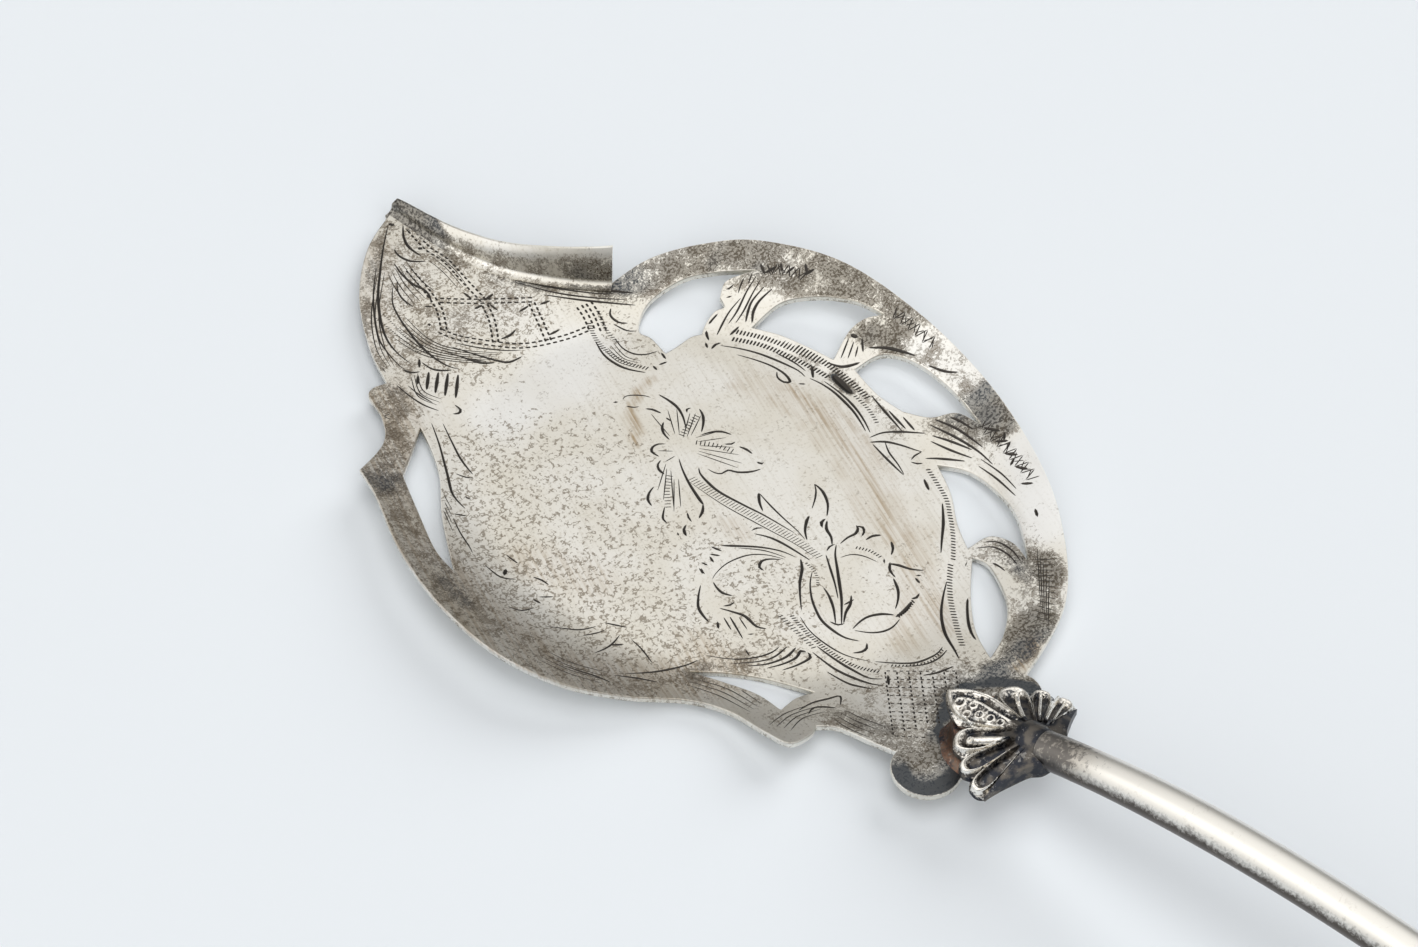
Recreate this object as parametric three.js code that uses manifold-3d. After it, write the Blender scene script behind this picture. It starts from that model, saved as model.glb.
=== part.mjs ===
import * as THREE from "three";
import { mergeVertices } from "three/addons/utils/BufferGeometryUtils.js";
import Module from "manifold-3d";

// A silver dessert server: a pierced and dished blade of sheet, a cast shell mount and a bow handle.
// Lengths are millimetres. +Y runs along the handle towards the tip and +Z is up. The origin lies on
// the underside of the blade's flat floor, on the line of the handle.

// Blade. Its pattern is drawn on an oval, which is also the rim that the sheet is dished up to.
const sheetGauge = 0.9;
const ovalHalfWidth = 39.5;
const ovalHalfLength = 51;
const ovalRightOfHandle = 10;
const ovalAheadOfOrigin = 2.5;
const borderWidth = 13.4;
const sideRise = 4.6;
const heelRise = 2.4;
const tipRise = 1.2;
const tipReach = 18.2;
const archWidth = 4.4;
const dishPower = 1.6;
const brimEase = 0.25;

// Where the rim's height changes, in half lengths of the oval ahead of its middle.
const heelRiseFrom = -1.07;
const heelRiseTo = -0.56;
const tipFallFrom = 0.5;
const tipFallTo = 1.01;

// Turned-up lip along the right side of the tip: its height grows from the tip to the notch.
const lipHeightAtTip = 2.2;
const lipHeightAtNotch = 6.3;
const lipLean = 0.16;
const lipBend = 1.1;
const lipRootInset = 1.4;
const lipFlare = 0.5;
const lipThinning = 0.004;

// Heel: two round ears under the shell. Degrees are those of each ear's arc, from straight right.
const earRadius = 4.3;
const earSpread = 7.8;
const earCentreY = -48;
const earCutDegrees = 70;
const rightEarEndDegrees = 366;
const leftEarStartDegrees = 98;

// Shell mount: seven fluted lobes round a hub, on a wedge-shaped foot.
const hubY = -58;
const shellTopHeight = 11.3;
const shellRimHeight = 8.7;
const shellSideDrop = 1.2;
const shellThickness = 1.1;
const shellEdgeThickness = 0.55;
const hubRadius = 2.6;
const frontLobeLength = 13.6;
const sideLobeLength = 9.4;
const domePower = 1.4;

// Relief on each lobe: a raised rim, a sunk flute inside it and a rib down its middle. Places across
// the lobe are shares of half its width.
const rimRelief = 0.33;
const fluteDepth = 0.55;
const ribRelief = 0.5;
const ribHalfWidth = 0.35;
const rimCrest = 0.26;
const fluteFloor = 0.55;
const rimTightness = 3;

// Outline of each lobe, by how far it is cut back at its sides and how round it is.
const sideNotchShare = 0.84;
const sideRoundness = 2.4;
const frontNotchShare = 0.72;
const frontRoundness = 1.1;

// Foot of the shell, soldered to the blade.
const footBackWidth = 9.4;
const footFrontWidth = 3.4;
const footSetback = 2.2;
const footInset = 0.3;
const footEmbed = 0.16;
const solderGap = 0.25;
const seatDepth = 5;

// Handle: a round rod that bows up behind the shell and comes down to the table at its end.
const handleLength = 134;
const rootHeight = 9.5;
const rootRadius = 2.3;
const rodRadius = 2.5;
const rodSwellLength = 26;
const crownHeight = 16.5;
const crownBehindHub = 52;
const endRadius = 3.4;
const bowPower = 2.5;

// Boss on the shell that takes the handle: it swells over the hub and tapers into the foot.
const bossLength = 1.2;
const bossReach = 8;
const bossCollar = 0.3;
const bossSwell = 0.2;
const bossNoseLength = 1;

// Fineness of the faceted surfaces.
const ovalSteps = 72;
const runSteps = 3;
const arcSteps = 7;
const lipSteps = 14;
const rimRings = 8;
const rodSides = 20;
const rodRings = 40;
const domeSteps = 5;
const domeFlat = 0.4;
const backSteps = 8;
const footSteps = 6;

const wasm = await Module();
wasm.setup();

const silver = { color: 0xdad5c9, roughness: 0.32, metalness: 1 };
const radians = THREE.MathUtils.degToRad;
const smooth = (from, to, value) => THREE.MathUtils.smoothstep(value, from, to);

// A closed BufferGeometry as a solid for cutting and joining.
function solidOf(geometry) {
  const bare = geometry.clone();
  bare.deleteAttribute("normal");
  bare.deleteAttribute("uv");
  const merged = mergeVertices(bare, 1e-5);
  const vertProperties = new Float32Array(merged.attributes.position.array);
  const triVerts = new Uint32Array(merged.index.array);
  return new wasm.Manifold(new wasm.Mesh({ numProp: 3, vertProperties, triVerts }));
}

// A solid as a BufferGeometry.
function geometryOf(solid) {
  const mesh = solid.getMesh();
  const positions = new Float32Array(mesh.numVert * 3);
  for (let vertex = 0; vertex < mesh.numVert; vertex++) {
    for (let axis = 0; axis < 3; axis++) {
      positions[vertex * 3 + axis] = mesh.vertProperties[vertex * mesh.numProp + axis];
    }
  }
  const geometry = new THREE.BufferGeometry();
  geometry.setAttribute("position", new THREE.BufferAttribute(positions, 3));
  geometry.setIndex(Array.from(mesh.triVerts));
  geometry.computeVertexNormals();
  return geometry;
}

// A solid through rings of points: each ring is closed, and the first and last are capped by a fan
// round their middle.
function loft(rings) {
  const count = rings[0].length;
  const points = rings.flat();
  const faces = [];
  for (let ring = 0; ring + 1 < rings.length; ring++) {
    for (let side = 0; side < count; side++) {
      const here = ring * count + side;
      const next = ring * count + (side + 1) % count;
      faces.push([here, next, next + count], [here, next + count, here + count]);
    }
  }
  for (const [ring, flip] of [[0, true], [rings.length - 1, false]]) {
    const middle = new THREE.Vector3();
    rings[ring].forEach((point) => middle.addScaledVector(point, 1 / count));
    const centre = points.push(middle) - 1;
    for (let side = 0; side < count; side++) {
      const here = ring * count + side;
      const next = ring * count + (side + 1) % count;
      faces.push(flip ? [next, here, centre] : [here, next, centre]);
    }
  }
  const geometry = new THREE.BufferGeometry().setFromPoints(points);
  geometry.setIndex(faces.flat());
  return geometry;
}

// The dish: how far the sheet has risen at a point of its plan.
const floorShare = 1 - borderWidth / ovalHalfWidth;

function shareAt(x, y) {
  return Math.hypot((x - ovalRightOfHandle) / ovalHalfWidth, (y - ovalAheadOfOrigin) / ovalHalfLength);
}

function rimRise(y) {
  const v = (y - ovalAheadOfOrigin) / ovalHalfLength;
  const fromHeel = heelRise + (sideRise - heelRise) * smooth(heelRiseFrom, heelRiseTo, v);
  return fromHeel + (tipRise - sideRise) * smooth(tipFallFrom, tipFallTo, v);
}

function sheetRise(x, y) {
  const climb = Math.max(0, (shareAt(x, y) - floorShare) / (1 - floorShare));
  if (climb <= 1) {
    return rimRise(y) * climb ** dishPower;
  }
  const eased = 1 - Math.exp((1 - climb) / brimEase);
  return rimRise(y) * (1 + dishPower * brimEase * eased);
}

// A point of the pattern: degrees round the oval from its right side, and the share of the way from
// its middle to its rim.
function onOval([degrees, share]) {
  const x = ovalRightOfHandle + share * ovalHalfWidth * Math.cos(radians(degrees));
  const y = ovalAheadOfOrigin + share * ovalHalfLength * Math.sin(radians(degrees));
  return new THREE.Vector2(x, y);
}

// A sheet that follows the dish, between two heights above its underside.
function dishedSlab(below, above) {
  const shares = [floorShare];
  const brimShares = [1.08, 1.2, 1.5];
  for (let ring = 1; ring <= rimRings; ring++) {
    shares.push(floorShare + (1 - floorShare) * ring / rimRings);
  }
  shares.push(...brimShares);
  const ringAt = (share, height) => {
    const ring = [];
    for (let step = 0; step < ovalSteps; step++) {
      const { x, y } = onOval([360 * step / ovalSteps, share]);
      ring.push(new THREE.Vector3(x, y, sheetRise(x, y) + height));
    }
    return ring;
  };
  const outwards = shares.map((share) => ringAt(share, below));
  const inwards = shares.map((share) => ringAt(share, above)).reverse();
  return solidOf(loft([...outwards, ...inwards]));
}

// Outlines of the blade. A run is one smooth stretch between two corners.
const archInner = 1 - archWidth / ovalHalfWidth;
const tipShare = 1 + tipReach / ovalHalfLength;
const lipFold = [
  [55, 0.848], [62, 0.876], [68, 0.925], [72.5, 0.985], [76, 1.065], [78.5, 1.18], [80, tipShare],
];
const archEdge = [
  [-68, 0.982], [-50, 0.967], [-34, 0.965], [-18, 0.983], [-2, 1.015], [13, 1.051], [26, 1.031],
  [37, 0.982], [46, 0.932], [54, 0.862], [55, 0.848],
];
const tipEdge = [[80, tipShare], [88, 1.28], [97, 1.172], [106, 1.05], [113, 0.952]];
const leafHead = [[113, 0.952], [115.5, 0.984], [118, 0.985], [122, 0.938], [129, 0.925], [138, 1.004]];
const leftEdge = [
  [138, 1.004], [144, 0.981], [157, 0.995], [169, 1.014], [-179, 1.022], [-169, 0.986],
  [-160, 0.91], [-150, 0.83], [-142, 0.842], [-136.5, 0.922], [-133, 0.97], [-129, 0.928], [-127, 0.888],
];
const heelEdge = [[-127, 0.888], [-123.5, 0.898], [-120, 0.962]];

// Piercings: each has two or more runs, whose ends are its corners.
const piercings = {
  lipWindow: [
    [[48, 0.577], [50.5, 0.64], [53, 0.677], [48.5, 0.775], [40.7, archInner - 0.03],
      [34, archInner + 0.01], [26.6, archInner + 0.046]],
    [[26.6, archInner + 0.046], [29.6, 0.905], [32.2, 0.872], [33, 0.818]],
    [[33, 0.818], [32, 0.79], [34, 0.768], [36, 0.72], [37.2, 0.672]],
    [[37.2, 0.672], [40, 0.655], [44, 0.61], [48, 0.577]],
  ],
  crownWindow: [
    [[25.5, 0.74], [21, archInner - 0.038], [15, archInner + 0.025], [8.5, archInner + 0.062],
      [3, archInner + 0.067]],
    [[3, archInner + 0.067], [5.5, 0.915], [6.8, 0.85], [6.2, 0.742]],
    [[6.2, 0.742], [12, 0.743], [19, 0.746], [25.5, 0.74]],
  ],
  sideWindow: [
    [[1, 0.748], [-1.2, archInner - 0.049], [-7, archInner - 0.007], [-16, archInner],
      [-25.3, archInner - 0.007]],
    [[-25.3, archInner - 0.007], [-20.6, 0.85], [-18.6, 0.78], [-14, 0.73]],
    [[-14, 0.73], [-7, 0.72], [1, 0.748]],
  ],
  scrollWindow: [
    [[-31.2, 0.7], [-35, 0.773], [-41.7, archInner - 0.067], [-49, archInner - 0.037],
      [-60, archInner - 0.017]],
    [[-60, archInner - 0.017], [-55.4, 0.832], [-53.6, 0.77], [-57.7, 0.709]],
    [[-57.7, 0.709], [-50, 0.688], [-40, 0.696], [-31.2, 0.7]],
  ],
  heelWindow: [
    [[-60.5, 0.722], [-62.5, 0.77], [-71.5, archInner - 0.054], [-80, archInner - 0.023],
      [-87, archInner - 0.011]],
    [[-87, archInner - 0.011], [-82, 0.8], [-73, 0.743], [-60.5, 0.722]],
  ],
  leftTipSlot: [
    [[122, 0.826], [128.5, 0.787], [136, 0.774], [147, 0.804], [161.5, 0.872]],
    [[161.5, 0.872], [156, 0.88], [146, 0.869], [137, 0.88]],
    [[137, 0.88], [130, 0.846], [122, 0.826]],
  ],
  leftHeelSlot: [
    [[-150, 0.695], [-141, 0.673], [-132, 0.687], [-123.5, 0.743]],
    [[-123.5, 0.743], [-128, 0.762], [-132, 0.812]],
    [[-132, 0.812], [-135.5, 0.748], [-142, 0.712], [-150, 0.695]],
  ],
};

function earPoint(side, degrees) {
  const x = side * earSpread + earRadius * Math.cos(radians(degrees));
  const y = earCentreY + earRadius * Math.sin(radians(degrees));
  return new THREE.Vector2(x, y);
}

// The points of a smooth run, without its last, which starts the next run.
function runPoints(run) {
  return new THREE.SplineCurve(run).getPoints(runSteps * (run.length - 1)).slice(0, -1);
}

function earPoints(side, from, to) {
  const points = [];
  for (let step = 0; step <= arcSteps; step++) {
    points.push(earPoint(side, from + (to - from) * step / arcSteps));
  }
  return points;
}

// The plan of the whole sheet, anticlockwise from the right ear.
function bladePlan() {
  const outline = [
    ...runPoints([earPoint(1, rightEarEndDegrees), ...archEdge.map(onOval)]),
    ...[lipFold, tipEdge, leafHead, leftEdge].flatMap((run) => runPoints(run.map(onOval))),
    ...runPoints([...heelEdge.map(onOval), earPoint(-1, leftEarStartDegrees)]),
    ...earPoints(-1, leftEarStartDegrees, 360 - earCutDegrees),
    ...earPoints(1, 180 + earCutDegrees, rightEarEndDegrees).slice(0, -1),
  ];
  const plan = new THREE.Shape(outline);
  plan.holes = Object.values(piercings).map((runs) => (
    new THREE.Path(runs.flatMap((run) => runPoints(run.map(onOval))))
  ));
  return plan;
}

// The middle line of the lip in section, as distance out from the fold and height above the sheet's
// underside: out along the sheet, round the bend, and up with a slight flare.
function lipSection(height) {
  const middle = sheetGauge / 2;
  const standOff = 0.4 * lipBend;
  return [
    [-lipRootInset, middle],
    [-lipBend, middle],
    [-0.35 * lipBend, middle + 0.15 * lipBend],
    [0.2 * lipBend, middle + 0.65 * lipBend],
    [standOff, middle + 1.4 * lipBend],
    [standOff + 0.6 * lipLean * height, 0.75 * height],
    [standOff + lipLean * height + lipFlare, height],
  ];
}

// The lip: a strip of the same gauge, bent up from the sheet along the fold.
function lipStrip() {
  const fold = new THREE.SplineCurve(lipFold.map(onOval));
  const halfGauge = (sheetGauge - lipThinning) / 2;
  const rings = [];
  for (let step = 0; step <= lipSteps; step++) {
    const along = step / lipSteps;
    const point = fold.getPoint(along);
    const tangent = fold.getTangent(along);
    const outward = new THREE.Vector2(tangent.y, -tangent.x);
    const line = lipSection(lipHeightAtNotch + (lipHeightAtTip - lipHeightAtNotch) * along);
    const inner = [];
    const outer = [];
    line.forEach(([out, height], index) => {
      const before = line[Math.max(index - 1, 0)];
      const after = line[Math.min(index + 1, line.length - 1)];
      const run = new THREE.Vector2(after[0] - before[0], after[1] - before[1]).setLength(halfGauge);
      inner.push([out - run.y, height + run.x]);
      outer.unshift([out + run.y, height - run.x]);
    });
    const base = sheetRise(point.x, point.y);
    rings.push([...inner, ...outer].map(([out, height]) => new THREE.Vector3(
      point.x + outward.x * out,
      point.y + outward.y * out,
      base + height,
    )));
  }
  return solidOf(loft(rings));
}

function makeBlade() {
  const sheet = dishedSlab(0, sheetGauge);
  const depth = 2 * lipHeightAtNotch + 2 * sideRise;
  const prism = new THREE.ExtrudeGeometry(bladePlan(), { depth, bevelEnabled: false });
  prism.translate(0, 0, -depth / 2);
  const blade = sheet.intersect(solidOf(prism)).add(lipStrip());
  return new THREE.Mesh(geometryOf(blade), new THREE.MeshStandardMaterial(silver));
}

// Shell lobes: degrees to the right of straight ahead, half the lobe's spread, and its outline.
const sideLobe = { length: sideLobeLength, notch: sideNotchShare, roundness: sideRoundness };
const frontLobe = { length: frontLobeLength, notch: frontNotchShare, roundness: frontRoundness };
const lobes = [
  { at: -76.5, half: 9.5, ...sideLobe },
  { at: -57, half: 10, ...sideLobe },
  { at: -32.5, half: 14.5, ...sideLobe },
  { at: 0, half: 18, ...frontLobe },
  { at: 32.5, half: 14.5, ...sideLobe },
  { at: 57, half: 10, ...sideLobe },
  { at: 76.5, half: 9.5, ...sideLobe },
];
const spokesAcrossLobe = [-1, -0.74, -0.42, 0, 0.42, 0.74];

// Where the fan's spokes stand: each has its direction, its place across its lobe and its length.
function shellSpokes() {
  const spokes = [];
  for (const lobe of lobes) {
    for (const across of spokesAcrossLobe) {
      const cutBack = (1 - lobe.notch) * Math.abs(across) ** lobe.roundness;
      spokes.push({ degrees: lobe.at + across * lobe.half, across, length: lobe.length * (1 - cutBack) });
    }
  }
  const last = lobes[lobes.length - 1];
  const backFrom = last.at + last.half;
  spokes.push({ degrees: backFrom, across: 1, length: last.length * last.notch });
  for (let step = 1; step < backSteps; step++) {
    const degrees = backFrom + (360 - 2 * backFrom) * step / backSteps;
    spokes.push({ degrees, across: 1, length: hubRadius });
  }
  return spokes;
}

// The shell's dome: it falls from the hub to the rim, and more to the sides than to the front.
function shellDome(degrees, share) {
  const fromFront = Math.min(Math.abs(degrees), Math.abs(360 - degrees));
  const sideways = Math.min(fromFront / 90, 1);
  const fall = (shellTopHeight - shellRimHeight) * share ** domePower;
  return shellTopHeight - fall - shellSideDrop * (sideways * share) ** 2;
}

// The shell's top. The nearness to a lobe's edge is 0 on the edge and 1 down the lobe's middle: the
// edge is turned down, then come the raised rim, the sunk flute and, in mid lobe, the rib.
function shellTop(spoke, share) {
  const nearness = Math.min(1 - Math.abs(spoke.across), rimTightness * (1 - share));
  const upToRim = -fluteDepth + (fluteDepth + rimRelief) * Math.min(nearness / rimCrest, 1);
  const intoFlute = (rimRelief + 0.3 * fluteDepth) * smooth(rimCrest, fluteFloor, nearness);
  const ribHere = smooth(0.3, 0.45, share) * smooth(0.9, 0.75, share);
  const rib = ribRelief * ribHere * Math.max(0, 1 - (spoke.across / ribHalfWidth) ** 2);
  const growth = smooth(0.2, 0.5, share);
  return shellDome(spoke.degrees, share) + growth * (upToRim - intoFlute + rib);
}

// The shell's underside is plain, and thins towards its edge.
function shellUnder(spoke, share) {
  const thickness = shellThickness - (shellThickness - shellEdgeThickness) * share ** 2;
  return shellDome(spoke.degrees, share) - fluteDepth - thickness;
}

// A solid over the fan's plan, between a top and an underside given as heights by spoke and share of
// the spoke's length.
function shellLayer(topHeight, underHeight) {
  const spokes = shellSpokes();
  const topShares = [0.2, 0.38, 0.56, 0.72, 0.84, 0.92, 1];
  const underShares = [1, 0.6, 0.2];
  const ringAt = (share, height) => spokes.map((spoke) => {
    const reach = share * spoke.length;
    const angle = radians(spoke.degrees);
    return new THREE.Vector3(reach * Math.sin(angle), hubY + reach * Math.cos(angle), height(spoke, share));
  });
  const top = topShares.map((share) => ringAt(share, topHeight));
  const under = underShares.map((share) => ringAt(share, underHeight));
  return solidOf(loft([...top, ...under]));
}

// The handle's middle line and radius, by the distance behind the hub.
function handlePoint(behind) {
  const rise = crownHeight - rootHeight;
  if (behind <= crownBehindHub) {
    const toCrown = Math.max(0, behind) / crownBehindHub;
    const early = Math.min(0, behind) * rise * bowPower / crownBehindHub;
    return new THREE.Vector3(0, hubY - behind, rootHeight + rise * (1 - (1 - toCrown) ** bowPower) + early);
  }
  const fall = smooth(crownBehindHub, handleLength - endRadius, behind);
  return new THREE.Vector3(0, hubY - behind, crownHeight - (crownHeight - endRadius) * fall);
}

function handleRadius(behind) {
  const swell = (rodRadius - rootRadius) * smooth(0, rodSwellLength, behind);
  const end = (endRadius - rodRadius) * smooth(crownBehindHub, handleLength - endRadius, behind);
  const intoDome = Math.max(0, behind - (handleLength - endRadius)) / endRadius;
  return (rootRadius + swell + end) * Math.sqrt(Math.max(0, 1 - intoDome ** 2));
}

// A round section of the rod, square to its middle line.
function rodRing(behind, radius) {
  const point = handlePoint(behind);
  const nudge = 0.01;
  const along = handlePoint(behind + nudge).sub(handlePoint(behind - nudge)).normalize();
  const across = new THREE.Vector3(1, 0, 0);
  const up = new THREE.Vector3().crossVectors(along, across);
  const ring = [];
  for (let side = 0; side < rodSides; side++) {
    const angle = 2 * Math.PI * side / rodSides;
    ring.push(point.clone()
      .addScaledVector(across, radius * Math.cos(angle))
      .addScaledVector(up, radius * Math.sin(angle)));
  }
  return ring;
}

// The shell's foot: a wedge that reaches up into the fan and down past the sheet's top.
function shellFoot() {
  const backY = earCentreY - earRadius * Math.sin(radians(earCutDegrees)) + footInset;
  const frontY = hubY + frontLobeLength - footSetback;
  const plan = new THREE.Shape();
  plan.moveTo(-footBackWidth / 2, backY);
  plan.lineTo(footBackWidth / 2, backY);
  plan.quadraticCurveTo(footBackWidth / 2, (backY + frontY) / 2, footFrontWidth / 2, frontY);
  plan.lineTo(-footFrontWidth / 2, frontY);
  plan.quadraticCurveTo(-footBackWidth / 2, (backY + frontY) / 2, -footBackWidth / 2, backY);
  const wedge = new THREE.ExtrudeGeometry(plan, {
    depth: shellTopHeight,
    bevelEnabled: false,
    curveSegments: footSteps,
  });
  const core = shellLayer((spoke, share) => shellUnder(spoke, share) + footEmbed, () => -sheetGauge);
  return solidOf(wedge).intersect(core);
}

function makeShellMount() {
  const bossRadius = rootRadius + bossCollar;
  const boss = solidOf(loft([
    rodRing(-bossReach - bossNoseLength, 0.4 * bossRadius),
    rodRing(-bossReach, 0.85 * bossRadius),
    rodRing(-bossReach / 2, bossRadius + bossSwell),
    rodRing(0, bossRadius),
    rodRing(bossLength, bossRadius),
  ]));
  const seat = dishedSlab(-seatDepth, sheetGauge + solderGap);
  const fan = shellLayer(shellTop, shellUnder);
  const mount = fan.add(shellFoot()).add(boss).subtract(seat);
  return new THREE.Mesh(geometryOf(mount), new THREE.MeshStandardMaterial(silver));
}

function makeHandle() {
  const start = bossLength + solderGap;
  const rings = [];
  for (let ring = 0; ring <= rodRings; ring++) {
    const behind = start + (handleLength - endRadius - start) * ring / rodRings;
    rings.push(rodRing(behind, handleRadius(behind)));
  }
  for (let step = 1; step <= domeSteps; step++) {
    const turn = Math.PI / 2 * step / (domeSteps + domeFlat);
    const behind = handleLength - endRadius + endRadius * Math.sin(turn);
    rings.push(rodRing(behind, handleRadius(behind)));
  }
  return new THREE.Mesh(loft(rings), new THREE.MeshStandardMaterial(silver));
}

const server = new THREE.Group();
const pieces = { blade: makeBlade(), shell_mount: makeShellMount(), handle: makeHandle() };
for (const [name, mesh] of Object.entries(pieces)) {
  mesh.name = name;
  server.add(mesh);
}

export default server;
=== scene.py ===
import math

import bpy
import numpy as np
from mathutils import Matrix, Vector, kdtree
from mathutils.geometry import delaunay_2d_cdt


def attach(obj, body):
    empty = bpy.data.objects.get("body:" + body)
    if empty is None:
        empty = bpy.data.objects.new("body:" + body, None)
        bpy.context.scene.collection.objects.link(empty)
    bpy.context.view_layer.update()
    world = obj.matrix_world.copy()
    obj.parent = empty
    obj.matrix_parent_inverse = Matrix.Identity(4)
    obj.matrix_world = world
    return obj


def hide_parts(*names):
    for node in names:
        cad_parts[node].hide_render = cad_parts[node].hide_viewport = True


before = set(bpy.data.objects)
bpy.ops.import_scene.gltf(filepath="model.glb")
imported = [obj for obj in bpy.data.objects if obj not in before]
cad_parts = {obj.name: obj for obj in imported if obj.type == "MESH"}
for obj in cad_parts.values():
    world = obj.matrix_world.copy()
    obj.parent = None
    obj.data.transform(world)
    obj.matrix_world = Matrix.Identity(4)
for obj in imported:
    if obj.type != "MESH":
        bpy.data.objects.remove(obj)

scene = bpy.context.scene
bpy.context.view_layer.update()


# The camera, left of the handle's line and high up, with a long lens.
def new_object(name, data):
    """An object in the scene with this mesh, curve, lamp or camera."""
    thing = bpy.data.objects.new(name, data)
    scene.collection.objects.link(thing)
    return thing


CAMERA_PLACE = (-0.20792, -0.19342, 0.31925)
CAMERA_AZIMUTH = -48
CAMERA_ELEVATION = 47
LENS_LENGTH = 85
FRAME_WIDTH = 36
camera_data = bpy.data.cameras.new("camera")
camera_data.lens = LENS_LENGTH
camera_data.sensor_width = FRAME_WIDTH
camera = new_object("camera", camera_data)
camera.location = CAMERA_PLACE
camera.rotation_euler = (math.radians(90 - CAMERA_ELEVATION), 0, math.radians(CAMERA_AZIMUTH))
scene.camera = camera
scene.view_settings.view_transform = "Standard"


# The room: a pale tent that only the metal mirrors, brightest overhead and dim towards the table, and
# three wide soft lamps that light the table top.
def feed(tree, entry, value):
    """Links a socket to an input, or sets the input to a number or a colour."""
    if isinstance(value, bpy.types.NodeSocket):
        tree.links.new(value, entry)
    else:
        entry.default_value = value


def add_node(tree, kind, place, *feeds, **values):
    """A node. The feeds go to its first inputs, the values to the settings or inputs of their names."""
    node = tree.nodes.new(kind)
    node.location = place
    for name, value in values.items():
        label = name.replace("_", " ")
        if label in node.inputs:
            feed(tree, node.inputs[label], value)
        else:
            setattr(node, name, value)
    for entry, value in zip(node.inputs, feeds):
        feed(tree, entry, value)
    return node


def soft_step(tree, place, value, low, high, bottom=0.0, top=1.0):
    """Goes smoothly from bottom to top while the value goes from low to high."""
    node = add_node(tree, "ShaderNodeMapRange", place, value, low, high, bottom, top)
    node.interpolation_type = "SMOOTHSTEP"
    return node.outputs["Result"]


def maths(tree, place, operation, *feeds):
    """The result of one calculation on the feeds."""
    return add_node(tree, "ShaderNodeMath", place, *feeds, operation=operation).outputs["Value"]


BACKDROP = (0.807, 0.842, 0.868, 1)
TENT_TINT = (1, 0.99, 0.97, 1)
AMBIENT = 0.04
TENT_TOP = 1.15
TENT_FOOT = 0.25
FOOT_HEIGHT = 0.2
SIDE_GLOW = 0.75
GLOW_FROM = (-0.754, 0.456, 0.474)
GLOW_EDGE, GLOW_CORE = 0.72, 0.97
world = bpy.data.worlds.new("tent")
world.use_nodes = True
scene.world = world
tree = world.node_tree
tree.nodes.clear()
sight = add_node(tree, "ShaderNodeLightPath", (-800, 400)).outputs
direction = add_node(tree, "ShaderNodeTexCoord", (-1000, 0)).outputs["Generated"]
height = add_node(tree, "ShaderNodeSeparateXYZ", (-800, 0), direction).outputs["Z"]
level = soft_step(tree, (-600, 0), height, FOOT_HEIGHT, 1.0, TENT_FOOT, TENT_TOP)
toward = add_node(tree, "ShaderNodeVectorMath", (-800, -250), direction, GLOW_FROM, operation="DOT_PRODUCT")
glow = soft_step(tree, (-600, -250), toward.outputs["Value"], GLOW_EDGE, GLOW_CORE, 0.0, SIDE_GLOW)
mirrored = maths(tree, (-400, 0), "ADD", level, glow)
strength = maths(tree, (-200, 0), "MULTIPLY_ADD", mirrored, sight["Is Glossy Ray"], AMBIENT)
tent = add_node(tree, "ShaderNodeBackground", (0, 100), TENT_TINT, strength)
backdrop = add_node(tree, "ShaderNodeBackground", (0, -100), BACKDROP)
choose = add_node(tree, "ShaderNodeMixShader", (200, 0), sight["Is Camera Ray"], tent.outputs["Background"],
                  backdrop.outputs["Background"])
add_node(tree, "ShaderNodeOutputWorld", (400, 0), choose.outputs["Shader"])

# Each lamp: where its light comes from, its energy and the degrees that it fills.
lamps = [
    ("right_lamp", (0.866, 0.0, 0.5), 1.54, 42),
    ("top_lamp", (0.0, 0.01, 1.0), 0.77, 42),
    ("near_lamp", (-0.542, -0.542, 0.643), 2.46, 75),
]
for name, lamp_from, energy, width in lamps:
    lamp_data = bpy.data.lights.new(name, "SUN")
    lamp_data.energy = energy
    lamp_data.angle = math.radians(width)
    lamp = new_object(name, lamp_data)
    lamp.rotation_euler = Vector(lamp_from).to_track_quat("Z", "Y").to_euler()
    lamp.visible_glossy = False


# The table top: one wide pale sheet under the server.
def new_material(name):
    """A material with a Principled shader, and its tree."""
    material = bpy.data.materials.new(name)
    material.use_nodes = True
    return material, material.node_tree, material.node_tree.nodes["Principled BSDF"]


FLOOR_HALF = 3.0
FLOOR_DROP = 0.00005
FLOOR_COLOR = (0.80, 0.835, 0.865, 1)
floor_mesh = bpy.data.meshes.new("table_top")
floor_mesh.from_pydata(
    [(x * FLOOR_HALF, y * FLOOR_HALF, -FLOOR_DROP) for x, y in ((-1, -1), (1, -1), (1, 1), (-1, 1))],
    [],
    [(0, 1, 2, 3)],
)
floor = new_object("table_top", floor_mesh)
material, _, shader = new_material("table_top")
shader.inputs["Base Color"].default_value = FLOOR_COLOR
shader.inputs["Roughness"].default_value = 0.9
shader.inputs["Specular IOR Level"].default_value = 0.1
floor_mesh.materials.append(material)


# Blade: one piece of sheet silver, dished and sawn out to a leaf with an open arch. Sizes are in
# millimetres, x to the right of the handle's line and y ahead along it, from near the floor's middle.
MM = 0.001
SHEET_GAUGE = 0.9
OVAL_CENTRE = np.array((10, 2.5))
OVAL_HALF = np.array((39.5, 51))
BORDER_WIDTH = 13.4
ARCH_WIDTH = 4.4
TIP_REACH = 18.2
SIDE_RISE, HEEL_RISE, TIP_RISE = 4.6, 2.4, 1.2
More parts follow.
